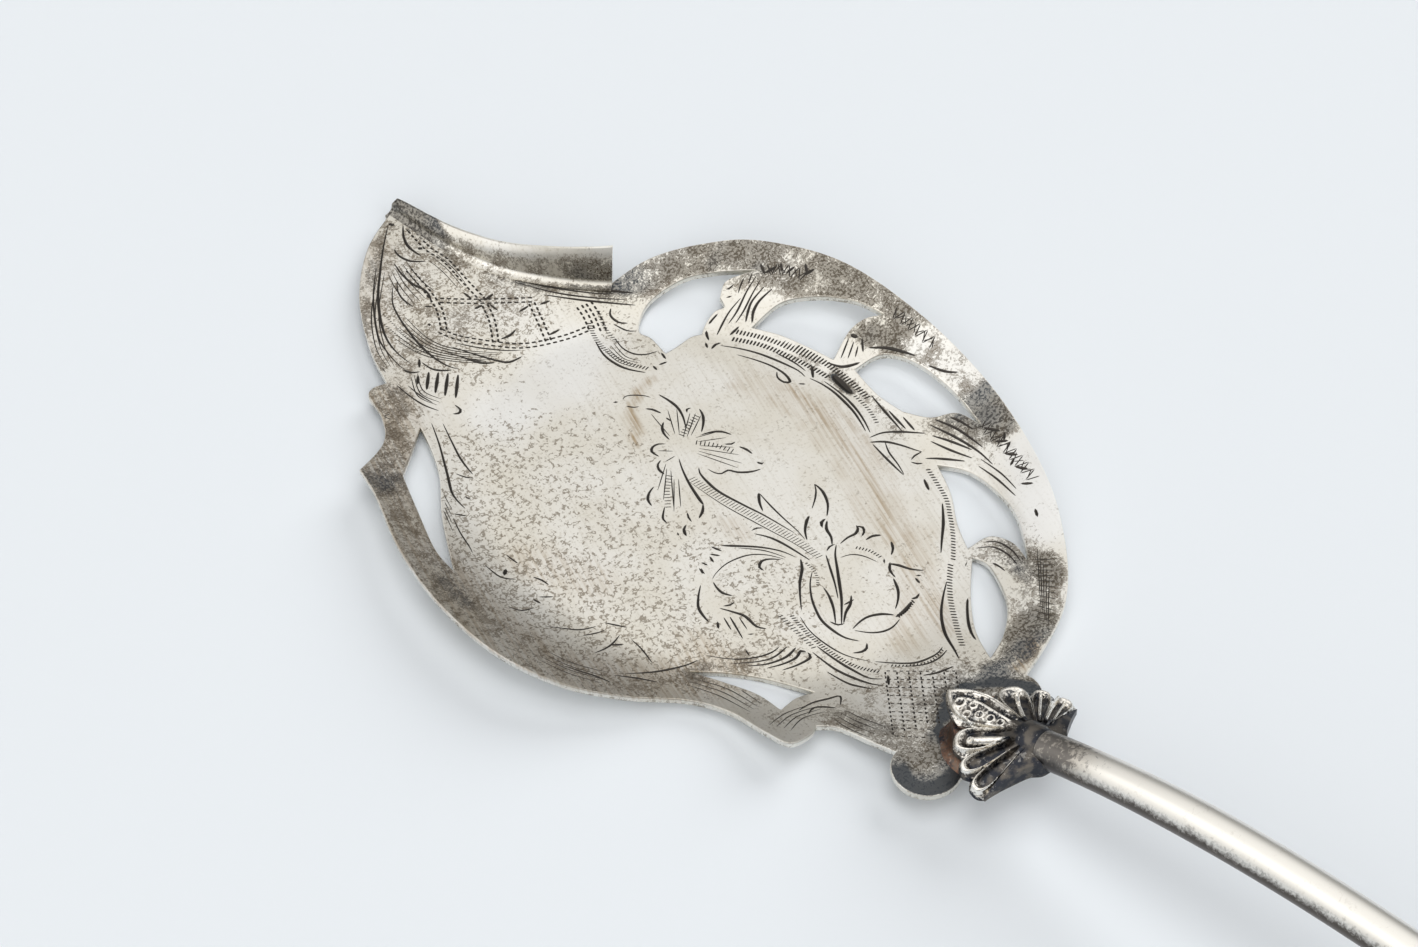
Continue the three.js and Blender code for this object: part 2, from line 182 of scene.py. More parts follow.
# Where the rim's height changes along the blade, as shares of the oval's half length.
HEEL_END, HEEL_TO_SIDE = -1.07, -0.56
SIDE_TO_TIP, TIP_END = 0.5, 1.01
DISH_POWER = 1.6
BRIM_EASE = 0.25
FLOOR_SHARE = 1 - BORDER_WIDTH / OVAL_HALF[0]
ARCH_INNER = 1 - ARCH_WIDTH / OVAL_HALF[0]
TIP_SHARE = 1 + TIP_REACH / OVAL_HALF[1]


def smooth(start, end, value):
    """Goes smoothly from 0 to 1 while the value goes from start to end."""
    share = np.clip((value - start) / (end - start), 0, 1)
    return share * share * (3 - 2 * share)


def climb_at(plan):
    """How far up the border a point of the plan lies: 0 on the floor, 1 on the oval rim."""
    share = np.linalg.norm((plan - OVAL_CENTRE) / OVAL_HALF, axis=-1)
    return np.maximum(0, (share - FLOOR_SHARE) / (1 - FLOOR_SHARE))


def rise_at(plan):
    """Height of the sheet's underside."""
    along = (plan[..., 1] - OVAL_CENTRE[1]) / OVAL_HALF[1]
    rim = HEEL_RISE + (SIDE_RISE - HEEL_RISE) * smooth(HEEL_END, HEEL_TO_SIDE, along)
    rim = rim + (TIP_RISE - SIDE_RISE) * smooth(SIDE_TO_TIP, TIP_END, along)
    climb = climb_at(plan)
    inside = np.minimum(climb, 1) ** DISH_POWER
    brim = DISH_POWER * BRIM_EASE * (1 - np.exp(np.minimum(0, 1 - climb) / BRIM_EASE))
    return rim * (inside + brim)


def spline(points, step):
    """A smooth line through the points, with one point about every step."""
    points = np.array(points, float)
    ends = np.vstack([points[:1], points, points[-1:]])
    line = [points[:1]]
    for before, start, end, after in zip(ends, ends[1:], ends[2:], ends[3:]):
        count = max(1, math.ceil(np.linalg.norm(end - start) / step))
        t = (np.arange(1, count + 1) / count)[:, None]
        line.append(start + 0.5 * ((end - before) * t
                                   + (2 * before - 5 * start + 4 * end - after) * t ** 2
                                   + (3 * start - before - 3 * end + after) * t ** 3))
    return np.vstack(line)


def on_oval(pairs):
    """Plan points from degrees round the oval and shares of the way from its middle to its rim."""
    degrees, share = np.array(pairs, float).T
    turn = np.radians(degrees)
    return OVAL_CENTRE + OVAL_HALF * share[:, None] * np.column_stack([np.cos(turn), np.sin(turn)])


# The two round ears of the heel: radius, place and the degrees of their arcs.
EAR_RADIUS, EAR_SPREAD, EAR_Y = 4.3, 7.8, -48
EAR_CUT, RIGHT_EAR_END, LEFT_EAR_START = 70, 366, 98
EAR_STEPS = 26


def ear(side, start, end):
    """The arc of an ear at the heel, on the right for side 1 and on the left for side -1."""
    turn = np.radians(np.linspace(start, end, EAR_STEPS))
    return np.column_stack([side * EAR_SPREAD + EAR_RADIUS * np.cos(turn), EAR_Y + EAR_RADIUS * np.sin(turn)])


# The outline and the piercings, as runs of degrees and shares. Each run ends where the next starts.
arch_edge = [
    (-68, 0.982), (-50, 0.967), (-34, 0.965), (-18, 0.983), (-2, 1.015), (13, 1.051), (26, 1.031),
    (37, 0.982), (46, 0.932), (54, 0.862),
]
lip_fold = [(55, 0.848), (62, 0.876), (68, 0.925), (72.5, 0.985), (76, 1.065), (78.5, 1.18)]
tip_edge = [(80, TIP_SHARE), (88, 1.28), (97, 1.172), (106, 1.05)]
leaf_head = [(113, 0.952), (115.5, 0.984), (118, 0.985), (122, 0.938), (129, 0.925)]
left_edge = [
    (138, 1.004), (144, 0.981), (157, 0.995), (169, 1.014), (181, 1.022), (191, 0.986), (200, 0.91),
    (210, 0.83), (218, 0.842), (223.5, 0.922), (227, 0.97), (231, 0.928),
]
heel_edge = [(233, 0.888), (236.5, 0.898), (240, 0.962)]
lip_window = [
    [(48, 0.577), (50.5, 0.64), (53, 0.677), (48.5, 0.775), (40.7, ARCH_INNER - 0.03),
     (34, ARCH_INNER + 0.01)],
    [(26.6, ARCH_INNER + 0.046), (29.6, 0.905), (32.2, 0.872)],
    [(33, 0.818), (32, 0.79), (34, 0.768), (36, 0.72)],
    [(37.2, 0.672), (40, 0.655), (44, 0.61)],
]
crown_window = [
    [(25.5, 0.74), (21, ARCH_INNER - 0.038), (15, ARCH_INNER + 0.025), (8.5, ARCH_INNER + 0.062)],
    [(3, ARCH_INNER + 0.067), (5.5, 0.915), (6.8, 0.85)],
    [(6.2, 0.742), (12, 0.743), (19, 0.746)],
]
side_window = [
    [(1, 0.748), (-1.2, ARCH_INNER - 0.049), (-7, ARCH_INNER - 0.007), (-16, ARCH_INNER)],
    [(-25.3, ARCH_INNER - 0.007), (-20.6, 0.85), (-18.6, 0.78)],
    [(-14, 0.73), (-7, 0.72)],
]
scroll_window = [
    [(-31.2, 0.7), (-35, 0.773), (-41.7, ARCH_INNER - 0.067), (-49, ARCH_INNER - 0.037)],
    [(-60, ARCH_INNER - 0.017), (-55.4, 0.832), (-53.6, 0.77)],
    [(-57.7, 0.709), (-50, 0.688), (-40, 0.696)],
]
heel_window = [
    [(-60.5, 0.722), (-62.5, 0.77), (-71.5, ARCH_INNER - 0.054), (-80, ARCH_INNER - 0.023)],
    [(-87, ARCH_INNER - 0.011), (-82, 0.8), (-73, 0.743)],
]
left_tip_slot = [
    [(122, 0.826), (128.5, 0.787), (136, 0.774), (147, 0.804)],
    [(161.5, 0.872), (156, 0.88), (146, 0.869)],
    [(137, 0.88), (130, 0.846)],
]
left_heel_slot = [
    [(-150, 0.695), (-141, 0.673), (-132, 0.687)],
    [(-123.5, 0.743), (-128, 0.762)],
    [(-132, 0.812), (-135.5, 0.748), (-142, 0.712)],
]
EDGE_STEP = 0.55


def edge_line(runs, after_last):
    """One line through the runs of points, with a corner where one run gives way to the next."""
    return np.vstack([
        spline(np.vstack([run, after[:1]]), EDGE_STEP)[:-1]
        for run, after in zip(runs, runs[1:] + [after_last])
    ])


right_ear = ear(1, 180 + EAR_CUT, RIGHT_EAR_END)
left_ear = ear(-1, LEFT_EAR_START, 360 - EAR_CUT)
edges = [on_oval(run) for run in (arch_edge, lip_fold, tip_edge, leaf_head, left_edge, heel_edge)]
edges[0] = np.vstack([right_ear[-1:], edges[0]])
outline = np.vstack([edge_line(edges, left_ear), left_ear, right_ear[:-1]])
loops = [outline]
for window in (lip_window, crown_window, side_window, scroll_window, heel_window, left_tip_slot,
               left_heel_slot):
    edges = [on_oval(run) for run in window]
    loops.append(edge_line(edges, edges[0]))


# The engraving on the blade. A cut is one stroke of the graver, which swells and runs out; ticks,
# pricks and wriggles repeat a small cut along a line.
CUT_STEP = 0.55
CUT_WIDTH = 1.2
CUT_TAPER = 0.45
SMALL_CUT_MARKS = np.array((-1, -0.6, 0.6, 1))
SMALL_CUT_FULLNESS = np.array((0, 1, 1, 0))
cuts = []


def cut(points, width, swell=0.5):
    """One stroke through the points. It is widest at the swell, a share of its length."""
    line = spline(points, CUT_STEP)
    along = np.linspace(0, 1, len(line))
    fullness = np.where(along < swell, along / max(swell, 0.01), (1 - along) / max(1 - swell, 0.01))
    cuts.append((line, CUT_WIDTH * width / 2 * np.clip(fullness, 0, 1) ** CUT_TAPER))


def part_way(line, along, marks):
    """Places on a line at the marks, where its own points lie at the values of along."""
    return np.column_stack([np.interp(marks, along, line[:, axis]) for axis in (0, 1)])


def along_line(points, spacing):
    """Evenly spaced places on a smooth line through the points, with the direction at each."""
    line = spline(points, 0.2)
    gone = np.concatenate([[0], np.cumsum(np.linalg.norm(np.diff(line, axis=0), axis=1))])
    marks = np.arange(spacing / 2, gone[-1], spacing)
    direction = part_way(line, gone, marks + 0.1) - part_way(line, gone, marks - 0.1)
    return part_way(line, gone, marks), direction / np.linalg.norm(direction, axis=1)[:, None]


def small_cut(place, half, width):
    """One short straight stroke with pointed ends, which reaches half its run to each side of a place."""
    cuts.append((place + half * SMALL_CUT_MARKS[:, None], CUT_WIDTH * width / 2 * SMALL_CUT_FULLNESS))


def ticks(points, spacing, length, width, lean=0.0):
    """Short strokes across a line, leaning along it by a share of their length."""
    for place, ahead in zip(*along_line(points, spacing)):
        across = np.array((-ahead[1], ahead[0])) + lean * ahead
        small_cut(place, across * length / 2, width)


def pricks(points, spacing, length, width):
    """A dotted line of short strokes."""
    for place, ahead in zip(*along_line(points, spacing)):
        small_cut(place, ahead * length / 2, width)


def double_row(points, apart, spacing, length, width):
    """Two dotted lines side by side."""
    for place, ahead in zip(*along_line(points, spacing)):
        across = np.array((-ahead[1], ahead[0])) * apart / 2
        small_cut(place + across, ahead * length / 2, width)
        small_cut(place - across, ahead * length / 2, width)


def hatch(first, last, count, width):
    """Side by side strokes, from the first line to the last."""
    for share in np.linspace(0, 1, count):
        cut(np.array(first) * (1 - share) + np.array(last) * share, width)


def wriggle(points, pitch, band, width):
    """A zigzag line that walks along the points."""
    places, ahead = along_line(points, pitch)
    side = np.where(np.arange(len(places)) % 2 == 0, 1, -1)[:, None]
    corners = places + side * band / 2 * np.column_stack([-ahead[:, 1], ahead[:, 0]])
    for start, end in zip(corners, corners[1:]):
        small_cut((start + end) / 2, (end - start) / 2, width)


# Each row is a width, where the stroke swells, and the points that it goes through.
flower = [
    (0.38, 0.4, (13.7, 23.4), (14.4, 22.8)),
    (0.26, 0.3, (14.4, 21.6), (15, 20.6), (15.6, 20.2)),
    (0.24, 0.6, (14.9, 22.6), (15.6, 22.9), (16.6, 22.2), (17.5, 21), (17.8, 20.1)),
    (0.4, 0.5, (15.7, 19.4), (16.3, 18.6), (16.6, 17.1)),
    (0.43, 0.35, (18.9, 19.9), (19, 18), (18.8, 16.3), (18, 14.6), (16.7, 12.9)),
    (0.3, 0.4, (16.4, 16.3), (16.4, 15.1)),
    (0.4, 0.6, (13.7, 13), (14.1, 14.5), (14.9, 15.5), (15.7, 15.9)),
    (0.4, 0.4, (10.6, 12), (10.6, 13.4), (11.3, 13.9), (12.2, 13.7), (12.9, 12.9)),
    (0.4, 0.3, (8.7, 9.4), (8.9, 10.6), (9.5, 11.3), (10.4, 11.5)),
    (0.4, 0.6, (17.5, 10.9), (19, 11.9), (20, 12.9), (20.6, 14.1)),
    (0.3, 0.5, (18.9, 14.7), (19.4, 15.2), (20, 14.9)),
    (0.4, 0.6, (17.1, 10.7), (18.6, 9.9), (19.5, 8.9), (19.9, 7.6)),
    (0.32, 0.4, (17.9, 7.4), (18.6, 6.6), (19.3, 6.5)),
    (0.4, 0.5, (18.9, 5.6), (19.2, 4.5), (19.1, 3.3)),
    (0.38, 0.75, (13.2, 6), (13.3, 4.8), (13.8, 4), (14.8, 3.8), (15.4, 2.6), (16.6, 1.4), (17.9, 0.7)),
    (0.4, 0.5, (18.4, 2.1), (18.6, 1.3), (19.1, 1.2)),
    (0.44, 0.85, (12.1, 10), (11, 8.4), (9.8, 6.2), (8.9, 4.1), (8.1, 2)),
    (0.42, 0.5, (8.2, 2.2), (7.2, 1.4), (5.9, 0.9)),
    (0.3, 0.4, (5.8, 2.8), (5.2, 2), (4.9, 1.1)),
    (0.43, 0.6, (4.2, 1.4), (3.3, 1.1), (2.6, 0)),
    (0.28, 0.5, (2.4, 1.4), (2, 0.8)),
    (0.32, 0.6, (4.6, 5.6), (3.4, 4.8), (2.8, 4.2), (2.6, 3.2)),
    (0.4, 0.6, (6.3, 9), (5, 8.7), (4, 8), (3.5, 6.8)),
    (0.4, 0.2, (12.7, 7), (12, 6.2), (11.5, 4.5), (11.2, 2), (11.6, -2), (12, -5), (12.3, -10)),
    (0.18, 0.5, (9.9, 6.4), (9.8, 2), (9.9, -1), (10.4, -6), (10.9, -11), (10.9, -14.5)),
    (0.43, 0.8, (12.4, -4.4), (13.3, -3), (14.5, -1.8)),
    (0.26, 0.3, (14.5, -1.8), (13.8, -4.5), (13.3, -7), (12.8, -10), (12.3, -11.7)),
]
flower_shading = [
    ((15.1, 12), (19.3, 14.5)), ((15.5, 11.7), (19.7, 13.9)), ((16.1, 11.5), (19.9, 13.1)),
    ((15.3, 12.8), (18.6, 16.3)), ((14.9, 13.2), (17.6, 17)), ((14.2, 13.4), (15.6, 18.2)),
    ((16.2, 10.9), (19.3, 9.3)), ((15.9, 10.2), (19.1, 7.8)), ((15.5, 9.6), (18.4, 5.9)),
    ((15.1, 9.3), (17.9, 4.4)), ((14.7, 9.1), (17, 3.1)), ((14.3, 8.9), (16, 3)),
    ((5.2, 4.6), (9.9, 9.4)), ((4.6, 4), (9, 8)), ((5.8, 3.9), (9.4, 7.6)), ((5.2, 6.4), (9.8, 10)),
    ((6.1, 8.2), (10.3, 10.6)), ((11.2, 13), (12.6, 11.3)), ((10.3, 10.9), (12.2, 10.6)),
]
left_scroll = [
    (0.4, 0.7, (-2.2, -6.8), (-4, -8), (-5.4, -9.4), (-6.2, -11.8)),
    (0.4, 0.5, (-0.8, -5.8), (-0.1, -5)),
    (0.34, 0.5, (-0.3, -4.7), (-0.6, -6.1)), (0.3, 0.5, (0.6, -4.3), (0.8, -5.4)),
    (0.36, 0.5, (2.1, -4.4), (1.6, -5.6)), (0.34, 0.5, (2.3, -4.1), (3.1, -5.5)),
    (0.36, 0.5, (3.4, -3.4), (3.8, -5.1)),
    (0.38, 0.15, (4.4, -4.3), (6, -6.2), (7.6, -8.3), (8.8, -10.6), (9.3, -12.8)),
    (0.2, 0.5, (5.4, -6), (7.4, -8.9), (8.4, -11.8)),
    (0.24, 0.5, (8.1, -12), (7.1, -9.7), (5.4, -7.9), (2.7, -6.9), (0.3, -7), (-0.7, -7.4)),
    (0.4, 0.6, (-0.8, -7.6), (-1.2, -8.5), (-1.4, -9.8), (-0.9, -11.1)),
    (0.3, 0.5, (-3.1, -11.2), (-2.3, -11.8), (-1.4, -11.9)),
    (0.4, 0.5, (-6.2, -13.4), (-5.3, -12.4)),
    (0.43, 0.6, (-3.6, -11.1), (-2.9, -12.8), (-2.4, -14.5), (-2.7, -16.6), (-2.1, -17.9)),
    (0.24, 0.5, (-4.5, -16.6), (-3.7, -17.3)),
    (0.28, 0.4, (-3.7, -13), (-4.4, -14.6), (-5.4, -16.8)),
    (0.24, 0.5, (-4.3, -12.5), (-5.3, -14.8)),
    (0.2, 0.5, (-3, -13.9), (-3.9, -16.2)),
    (0.24, 0.5, (-6.9, -19.2), (-6.4, -18)),
    (0.4, 0.3, (4.9, -11.3), (4.9, -10.4), (5.8, -9.9), (6.8, -10.4), (7.8, -11.7)),
    (0.38, 0.4, (8.7, -6), (9.6, -8), (10, -10.5), (10.1, -14.5)),
    (0.26, 0.5, (8.8, -5.5), (9.7, -5.7), (10.3, -6.4)),
]
tulip = [
    (0.42, 0.2, (9.5, -13.3), (8.3, -14.6), (6.5, -15.8), (4.8, -17.3), (3, -19.1)),
    (0.4, 0.7, (8.9, -15.8), (7.2, -16.9), (5.5, -18.6), (4.4, -20.2), (3.5, -22), (3.2, -24), (3.3, -26),
     (4.1, -27.8)),
    (0.44, 0.5, (14.4, -15.1), (13, -16.1), (11.4, -17.8), (9.8, -19.5), (8, -21.4), (6.4, -22.8),
     (4.5, -24.4)),
    (0.32, 0.4, (12.2, -15.2), (10.9, -17), (9.2, -19.3), (7.5, -21.3)),
    (0.38, 0.4, (7.8, -18.5), (7.2, -20), (6, -21.8), (4.2, -23.7)),
    (0.3, 0.5, (4, -22.8), (4.3, -24), (5.1, -24.5)),
    (0.42, 0.6, (4.9, -24.4), (6.5, -23.4), (8, -22.9), (9.2, -22)),
    (0.3, 0.5, (7.2, -22.4), (8.9, -22.8)),
    (0.43, 0.75, (4.9, -25.8), (6.6, -25.7), (8, -26), (9.4, -27), (10.3, -28.3)),
    (0.32, 0.6, (4.9, -26), (6, -27.8), (7.3, -28.9), (8.7, -29.3), (10.3, -29.1)),
    (0.4, 0.6, (2, -28.3), (2.9, -29), (3.8, -29.1), (4.5, -28.5)),
    (0.44, 0.8, (12.4, -11.9), (13.5, -10.6), (15, -9.6), (15.9, -9.3)),
    (0.26, 0.5, (16.9, -8.8), (18.6, -7.9), (19.8, -7), (20.5, -6.1)),
    (0.42, 0.35, (20.5, -6.1), (20.2, -7.8), (19, -9.7), (17.2, -11.1)),
    (0.46, 0.5, (15.3, -12), (16, -11.2), (16.9, -11.2)),
    (0.44, 0.35, (16.8, -11.5), (15.6, -12.4), (14.9, -13.8), (13.9, -14.8)),
    (0.28, 0.5, (12.6, -15), (13.5, -14.7), (14.4, -15)),
]
right_scroll = [
    (0.42, 0.7, (14.7, -15.4), (16.2, -15.4), (17.4, -15.7), (18.3, -15.4), (18.6, -14.8)),
    (0.38, 0.4, (18.4, -14.9), (18.9, -15.7), (18.3, -16.4), (17.5, -16.6)),
    (0.43, 0.6, (17.4, -17.4), (18.6, -17.6), (19.5, -18.4)),
    (0.4, 0.7, (17.6, -21.5), (18.7, -20.9), (19.5, -19.9)),
    (0.28, 0.5, (15.9, -21.8), (16.7, -21.1)),
    (0.22, 0.5, (12.9, -16.9), (14.3, -17.6), (15.2, -19), (15.6, -21)),
    (0.4, 0.75, (11, -27.7), (12.5, -26.9), (13.8, -25.8), (14.9, -24.1)),
    (0.4, 0.7, (15.1, -24.4), (15.6, -23), (16.7, -22.1)),
    (0.44, 0.3, (16.3, -22.1), (17, -23.3), (17.5, -24.8), (18.5, -26.3)),
    (0.38, 0.5, (16.4, -27.3), (16.8, -26.1)),
    (0.3, 0.5, (17, -25.9), (17.7, -26.6)),
    (0.6, 0.5, (10, -28.5), (11.5, -28.7), (13.5, -28.4)),
    (0.4, 0.4, (13.7, -28), (14.3, -28.4), (15.2, -28.2)),
    (0.42, 0.6, (22.1, -26), (24, -24.6), (26.5, -22.8), (29, -20.6)),
]
left_fronds = [
    (0.26, 0.8, (-10.5, -15), (-8.6, -18), (-6.5, -19.9), (-4.6, -20.8), (-3.2, -20.9)),
    (0.28, 0.8, (-9.4, -18.2), (-7, -20.4), (-5, -21.5), (-2.5, -21.6)),
    (0.38, 0.8, (-8.3, -20), (-6.4, -21.6), (-4, -22.6), (-1.9, -22.5)),
    (0.4, 0.8, (-7, -22), (-5, -23.1), (-3.2, -23.6), (-2, -23.3), (-1.7, -24.1)),
    (0.4, 0.8, (-6, -23.6), (-4, -24.5), (-2, -24.9), (-1.6, -24)),
    (0.3, 0.6, (-20.8, 2.5), (-19.5, 1), (-18, -0.7), (-16, -1.8)),
    (0.26, 0.5, (-18.6, -1.7), (-16.6, -2.7), (-15.7, -3)),
    (0.28, 0.5, (-15, -2), (-14.2, -3.6), (-13.6, -4.8)),
    (0.4, 0.6, (-25, -4.3), (-24, -6.5), (-23.1, -8.5), (-22.6, -10.6)),
    (0.38, 0.5, (-21.2, -9.6), (-19.4, -11.8), (-18, -14.2)),
    (0.38, 0.5, (-20, -10.1), (-17, -12.3), (-13.5, -14.2), (-11.5, -14.9)),
    (0.3, 0.5, (-19.9, -5), (-17.5, -5.3), (-15.1, -4.9)),
    (0.38, 0.5, (-17.2, -5.2), (-15.9, -6.4)),
    (0.24, 0.5, (-14.7, -6.4), (-15, -8.5), (-15.9, -11.2)),
    (0.38, 0.7, (-5.5, 38), (-7.5, 34.5), (-10.5, 30), (-12.5, 27), (-13.1, 24.1)),
    (0.32, 0.7, (-4.4, 37), (-5.8, 34), (-7.2, 30.8), (-8, 27.8)),
    (0.26, 0.5, (-9.6, 29.6), (-9, 28.2), (-8.3, 27.3)),
    (0.24, 0.6, (-15.5, 24), (-16.7, 21.5), (-17.6, 19), (-18.2, 17.7)),
    (0.3, 0.5, (-15, 24.5), (-13.8, 23.1)),
    (0.26, 0.5, (-11.6, 25.9), (-11.3, 24.8)),
    (0.26, 0.6, (-15.1, 15), (-15.1, 12.7)),
    (0.3, 0.6, (-18.5, 15.4), (-18.5, 12.5), (-17.2, 10.9)),
    (0.6, 0.5, (-18, 12.4), (-16.8, 13.2)),
    (0.3, 0.5, (-15.5, 9.9), (-15.1, 8.6), (-15.1, 7.3)),
    (0.28, 0.5, (-21.9, 8), (-21, 6.4), (-19.2, 5.8)),
    (0.38, 0.5, (-18.3, 7.2), (-18.1, 5.7)),
    (0.26, 0.5, (-17.5, 6.9), (-16, 5.5)),
]
heel_work = [
    (0.4, 0.5, (-0.1, -24.2), (-0.2, -27), (-0.1, -30), (0.1, -32.6), (1.1, -34.1)),
    (0.43, 0.6, (-1.2, -24.4), (-1.4, -28), (-1.1, -31), (-0.5, -33.6), (0.3, -35)),
    (0.38, 0.6, (-2.4, -27.8), (-2.3, -31), (-1.8, -32.7), (-1.1, -34.3)),
    (0.24, 0.5, (2.2, -19.5), (1.2, -22), (0.9, -25), (1.2, -28), (2.5, -31)),
    (0.38, 0.6, (2.7, -31.2), (4.5, -33.9), (6, -35.5), (8.4, -36.4), (10, -36.2)),
    (0.32, 0.6, (4.2, -34.4), (6, -36.3), (8, -37.1), (9.9, -37)),
    (0.42, 0.5, (4.4, -37.4), (6, -38.6), (8.1, -39.5)),
    (0.43, 0.4, (9.4, -39.2), (10.3, -37.8), (11.9, -35), (14.1, -32.6), (16.5, -30.9), (19, -29.5)),
    (0.4, 0.3, (12.9, -39.7), (13.6, -38), (15, -36.2), (17.5, -34), (20.5, -32), (22.1, -31)),
    (0.4, 0.5, (0.5, -35.4), (2, -34)),
    (0.4, 0.5, (22.2, -29.8), (23.8, -29.4), (24.5, -30.8), (24.7, -33), (24.4, -34.6)),
    (0.38, 0.5, (-10.3, -30), (-8, -30.2), (-6, -31.2), (-4.7, -32), (-6.1, -33.2)),
    (0.4, 0.6, (-10, -31.4), (-8.5, -31), (-7.4, -32), (-6.7, -33.2)),
]
tip_fronds = [
    (0.43, 0.6, (12, 62.9), (11.2, 60.5), (10.9, 58), (11.2, 56.3), (10.9, 54.8), (10, 53.6)),
    (0.3, 0.7, (9.9, 60.1), (8.5, 58.5), (7.9, 56.8), (7.9, 54.8)),
    (0.38, 0.7, (8.7, 59.7), (6.5, 57.5), (5.3, 55.2), (4.4, 52.5), (3.6, 49.5), (3.2, 46.5), (3.4, 44),
     (4.1, 42.4)),
    (0.38, 0.6, (1.4, 46.9), (1.5, 45), (2.3, 43.8), (3.4, 42.9)),
    (0.38, 0.5, (-1.4, 47.6), (-1, 46.4), (0.1, 45.6)),
    (0.4, 0.5, (0.4, 46.2), (1.7, 47.5)),
    (0.3, 0.6, (-4, 46.2), (-4.2, 43.5), (-4, 41), (-3.2, 38.8)),
    (0.26, 0.6, (-3, 45), (-3.1, 42.6), (-2.8, 40.3)),
    (0.4, 0.6, (-0.9, 38.4), (-0.9, 37.2), (-1.6, 36.9), (-2.3, 37.4)),
    (0.43, 0.6, (6, 43.4), (7, 41.3), (8.5, 39.9)),
    (0.26, 0.5, (5.1, 45.8), (6.3, 43), (7.8, 40.9)),
    (0.4, 0.8, (6.2, 46.2), (7.4, 43.2), (8.9, 40), (9.9, 38.7), (11.9, 38.2)),
    (0.28, 0.5, (7, 46.5), (8.6, 43.6), (10.9, 40.6), (12.6, 39)),
    (0.4, 0.4, (0.2, 47.4), (0.3, 50), (1.1, 53), (3, 56.2), (6, 59.8), (9.5, 63), (13, 66), (16.9, 69)),
    (0.3, 0.5, (-0.9, 46.6), (-1.2, 48), (-0.6, 51), (0.5, 54), (3, 57.4), (6, 60.7), (9.4, 63.7)),
    (0.26, 0.6, (-3.4, 48.6), (-2.6, 51.4), (-1.6, 53.6)),
    (0.43, 0.5, (14, 64.9), (13.5, 63.5), (13.8, 61.5), (15.3, 59.8)),
    (0.43, 0.6, (18.2, 67.4), (16.5, 65.5), (15.6, 63.5), (15.5, 61)),
    (0.7, 0.5, (16.4, 62.8), (16.6, 61.8)),
    (0.6, 0.5, (17, 69.2), (17.4, 68.1)),
    (0.5, 0.5, (17.8, 66.6), (18.1, 65.6)),
    (0.5, 0.5, (13.3, 48.8), (14.8, 48.5)), (0.5, 0.5, (15.4, 48.9), (17.3, 48.9)),
    (0.42, 0.5, (11.9, 42.4), (13.2, 42), (14.7, 42.1)), (0.42, 0.5, (17.1, 44), (19, 43.8)),
    (0.42, 0.5, (20, 42.9), (21.6, 42.3)), (0.42, 0.5, (17, 38.3), (18.9, 37.9)),
    (0.42, 0.5, (14.6, 52.1), (14.5, 50.3)), (0.36, 0.5, (15.5, 48), (15.4, 46.2)),
    (0.5, 0.5, (6.9, 51.3), (7.4, 50.9)), (0.36, 0.5, (9, 54), (9.9, 53.1)),
    (0.43, 0.4, (18.6, 59.4), (20, 53.6), (21.7, 48), (24.6, 42.5), (27.7, 38.2)),
    (0.38, 0.4, (19.5, 54), (21, 49), (23.6, 43.4), (26.6, 38.6), (28.4, 36.6)),
    (0.3, 0.5, (20.6, 48.5), (22.9, 43), (25.8, 38.4), (28.6, 34.8)),
    (0.38, 0.5, (21.6, 43.8), (24, 40), (26.6, 36.3), (28.9, 33.1)),
    (0.26, 0.5, (22.3, 47.6), (25, 42.9), (27.4, 40)),
    (0.4, 0.6, (26.8, 39.6), (28.4, 37.2), (30.1, 34.7)),
]
bars = [
    ((-2, 44.1), (-0.6, 45.4)), ((-1.8, 42.6), (0.9, 44.9)), ((-1.4, 41.4), (1.8, 44)),
    ((-0.8, 40.2), (2.6, 43)), ((0, 39), (3.4, 41.9)),
]
leaf_scroll = [
    (0.42, 0.6, (20.6, 33), (19.5, 30.4), (19.3, 28), (19.7, 26), (20.8, 23.8)),
    (0.4, 0.5, (22.1, 23), (22.4, 24.1)), (0.38, 0.5, (22.9, 23.6), (24.3, 23.1)),
    (0.4, 0.5, (24.4, 23.5), (25, 25)),
    (0.3, 0.6, (22.8, 31.5), (22.1, 29.4), (22.3, 27.5), (23.3, 26.2), (24.9, 25.4)),
    (0.32, 0.5, (25.1, 29.8), (25.9, 28.4), (25.4, 26.8)),
    (0.43, 0.5, (25.3, 23.4), (26.5, 24.2), (28, 24.5), (29.8, 24.2)),
    (0.38, 0.5, (26.3, 35.4), (25.3, 34.6), (25.2, 33), (26, 31.9)),
    (0.28, 0.5, (24.5, 33.4), (24.9, 31.2), (25.7, 30.2)),
]
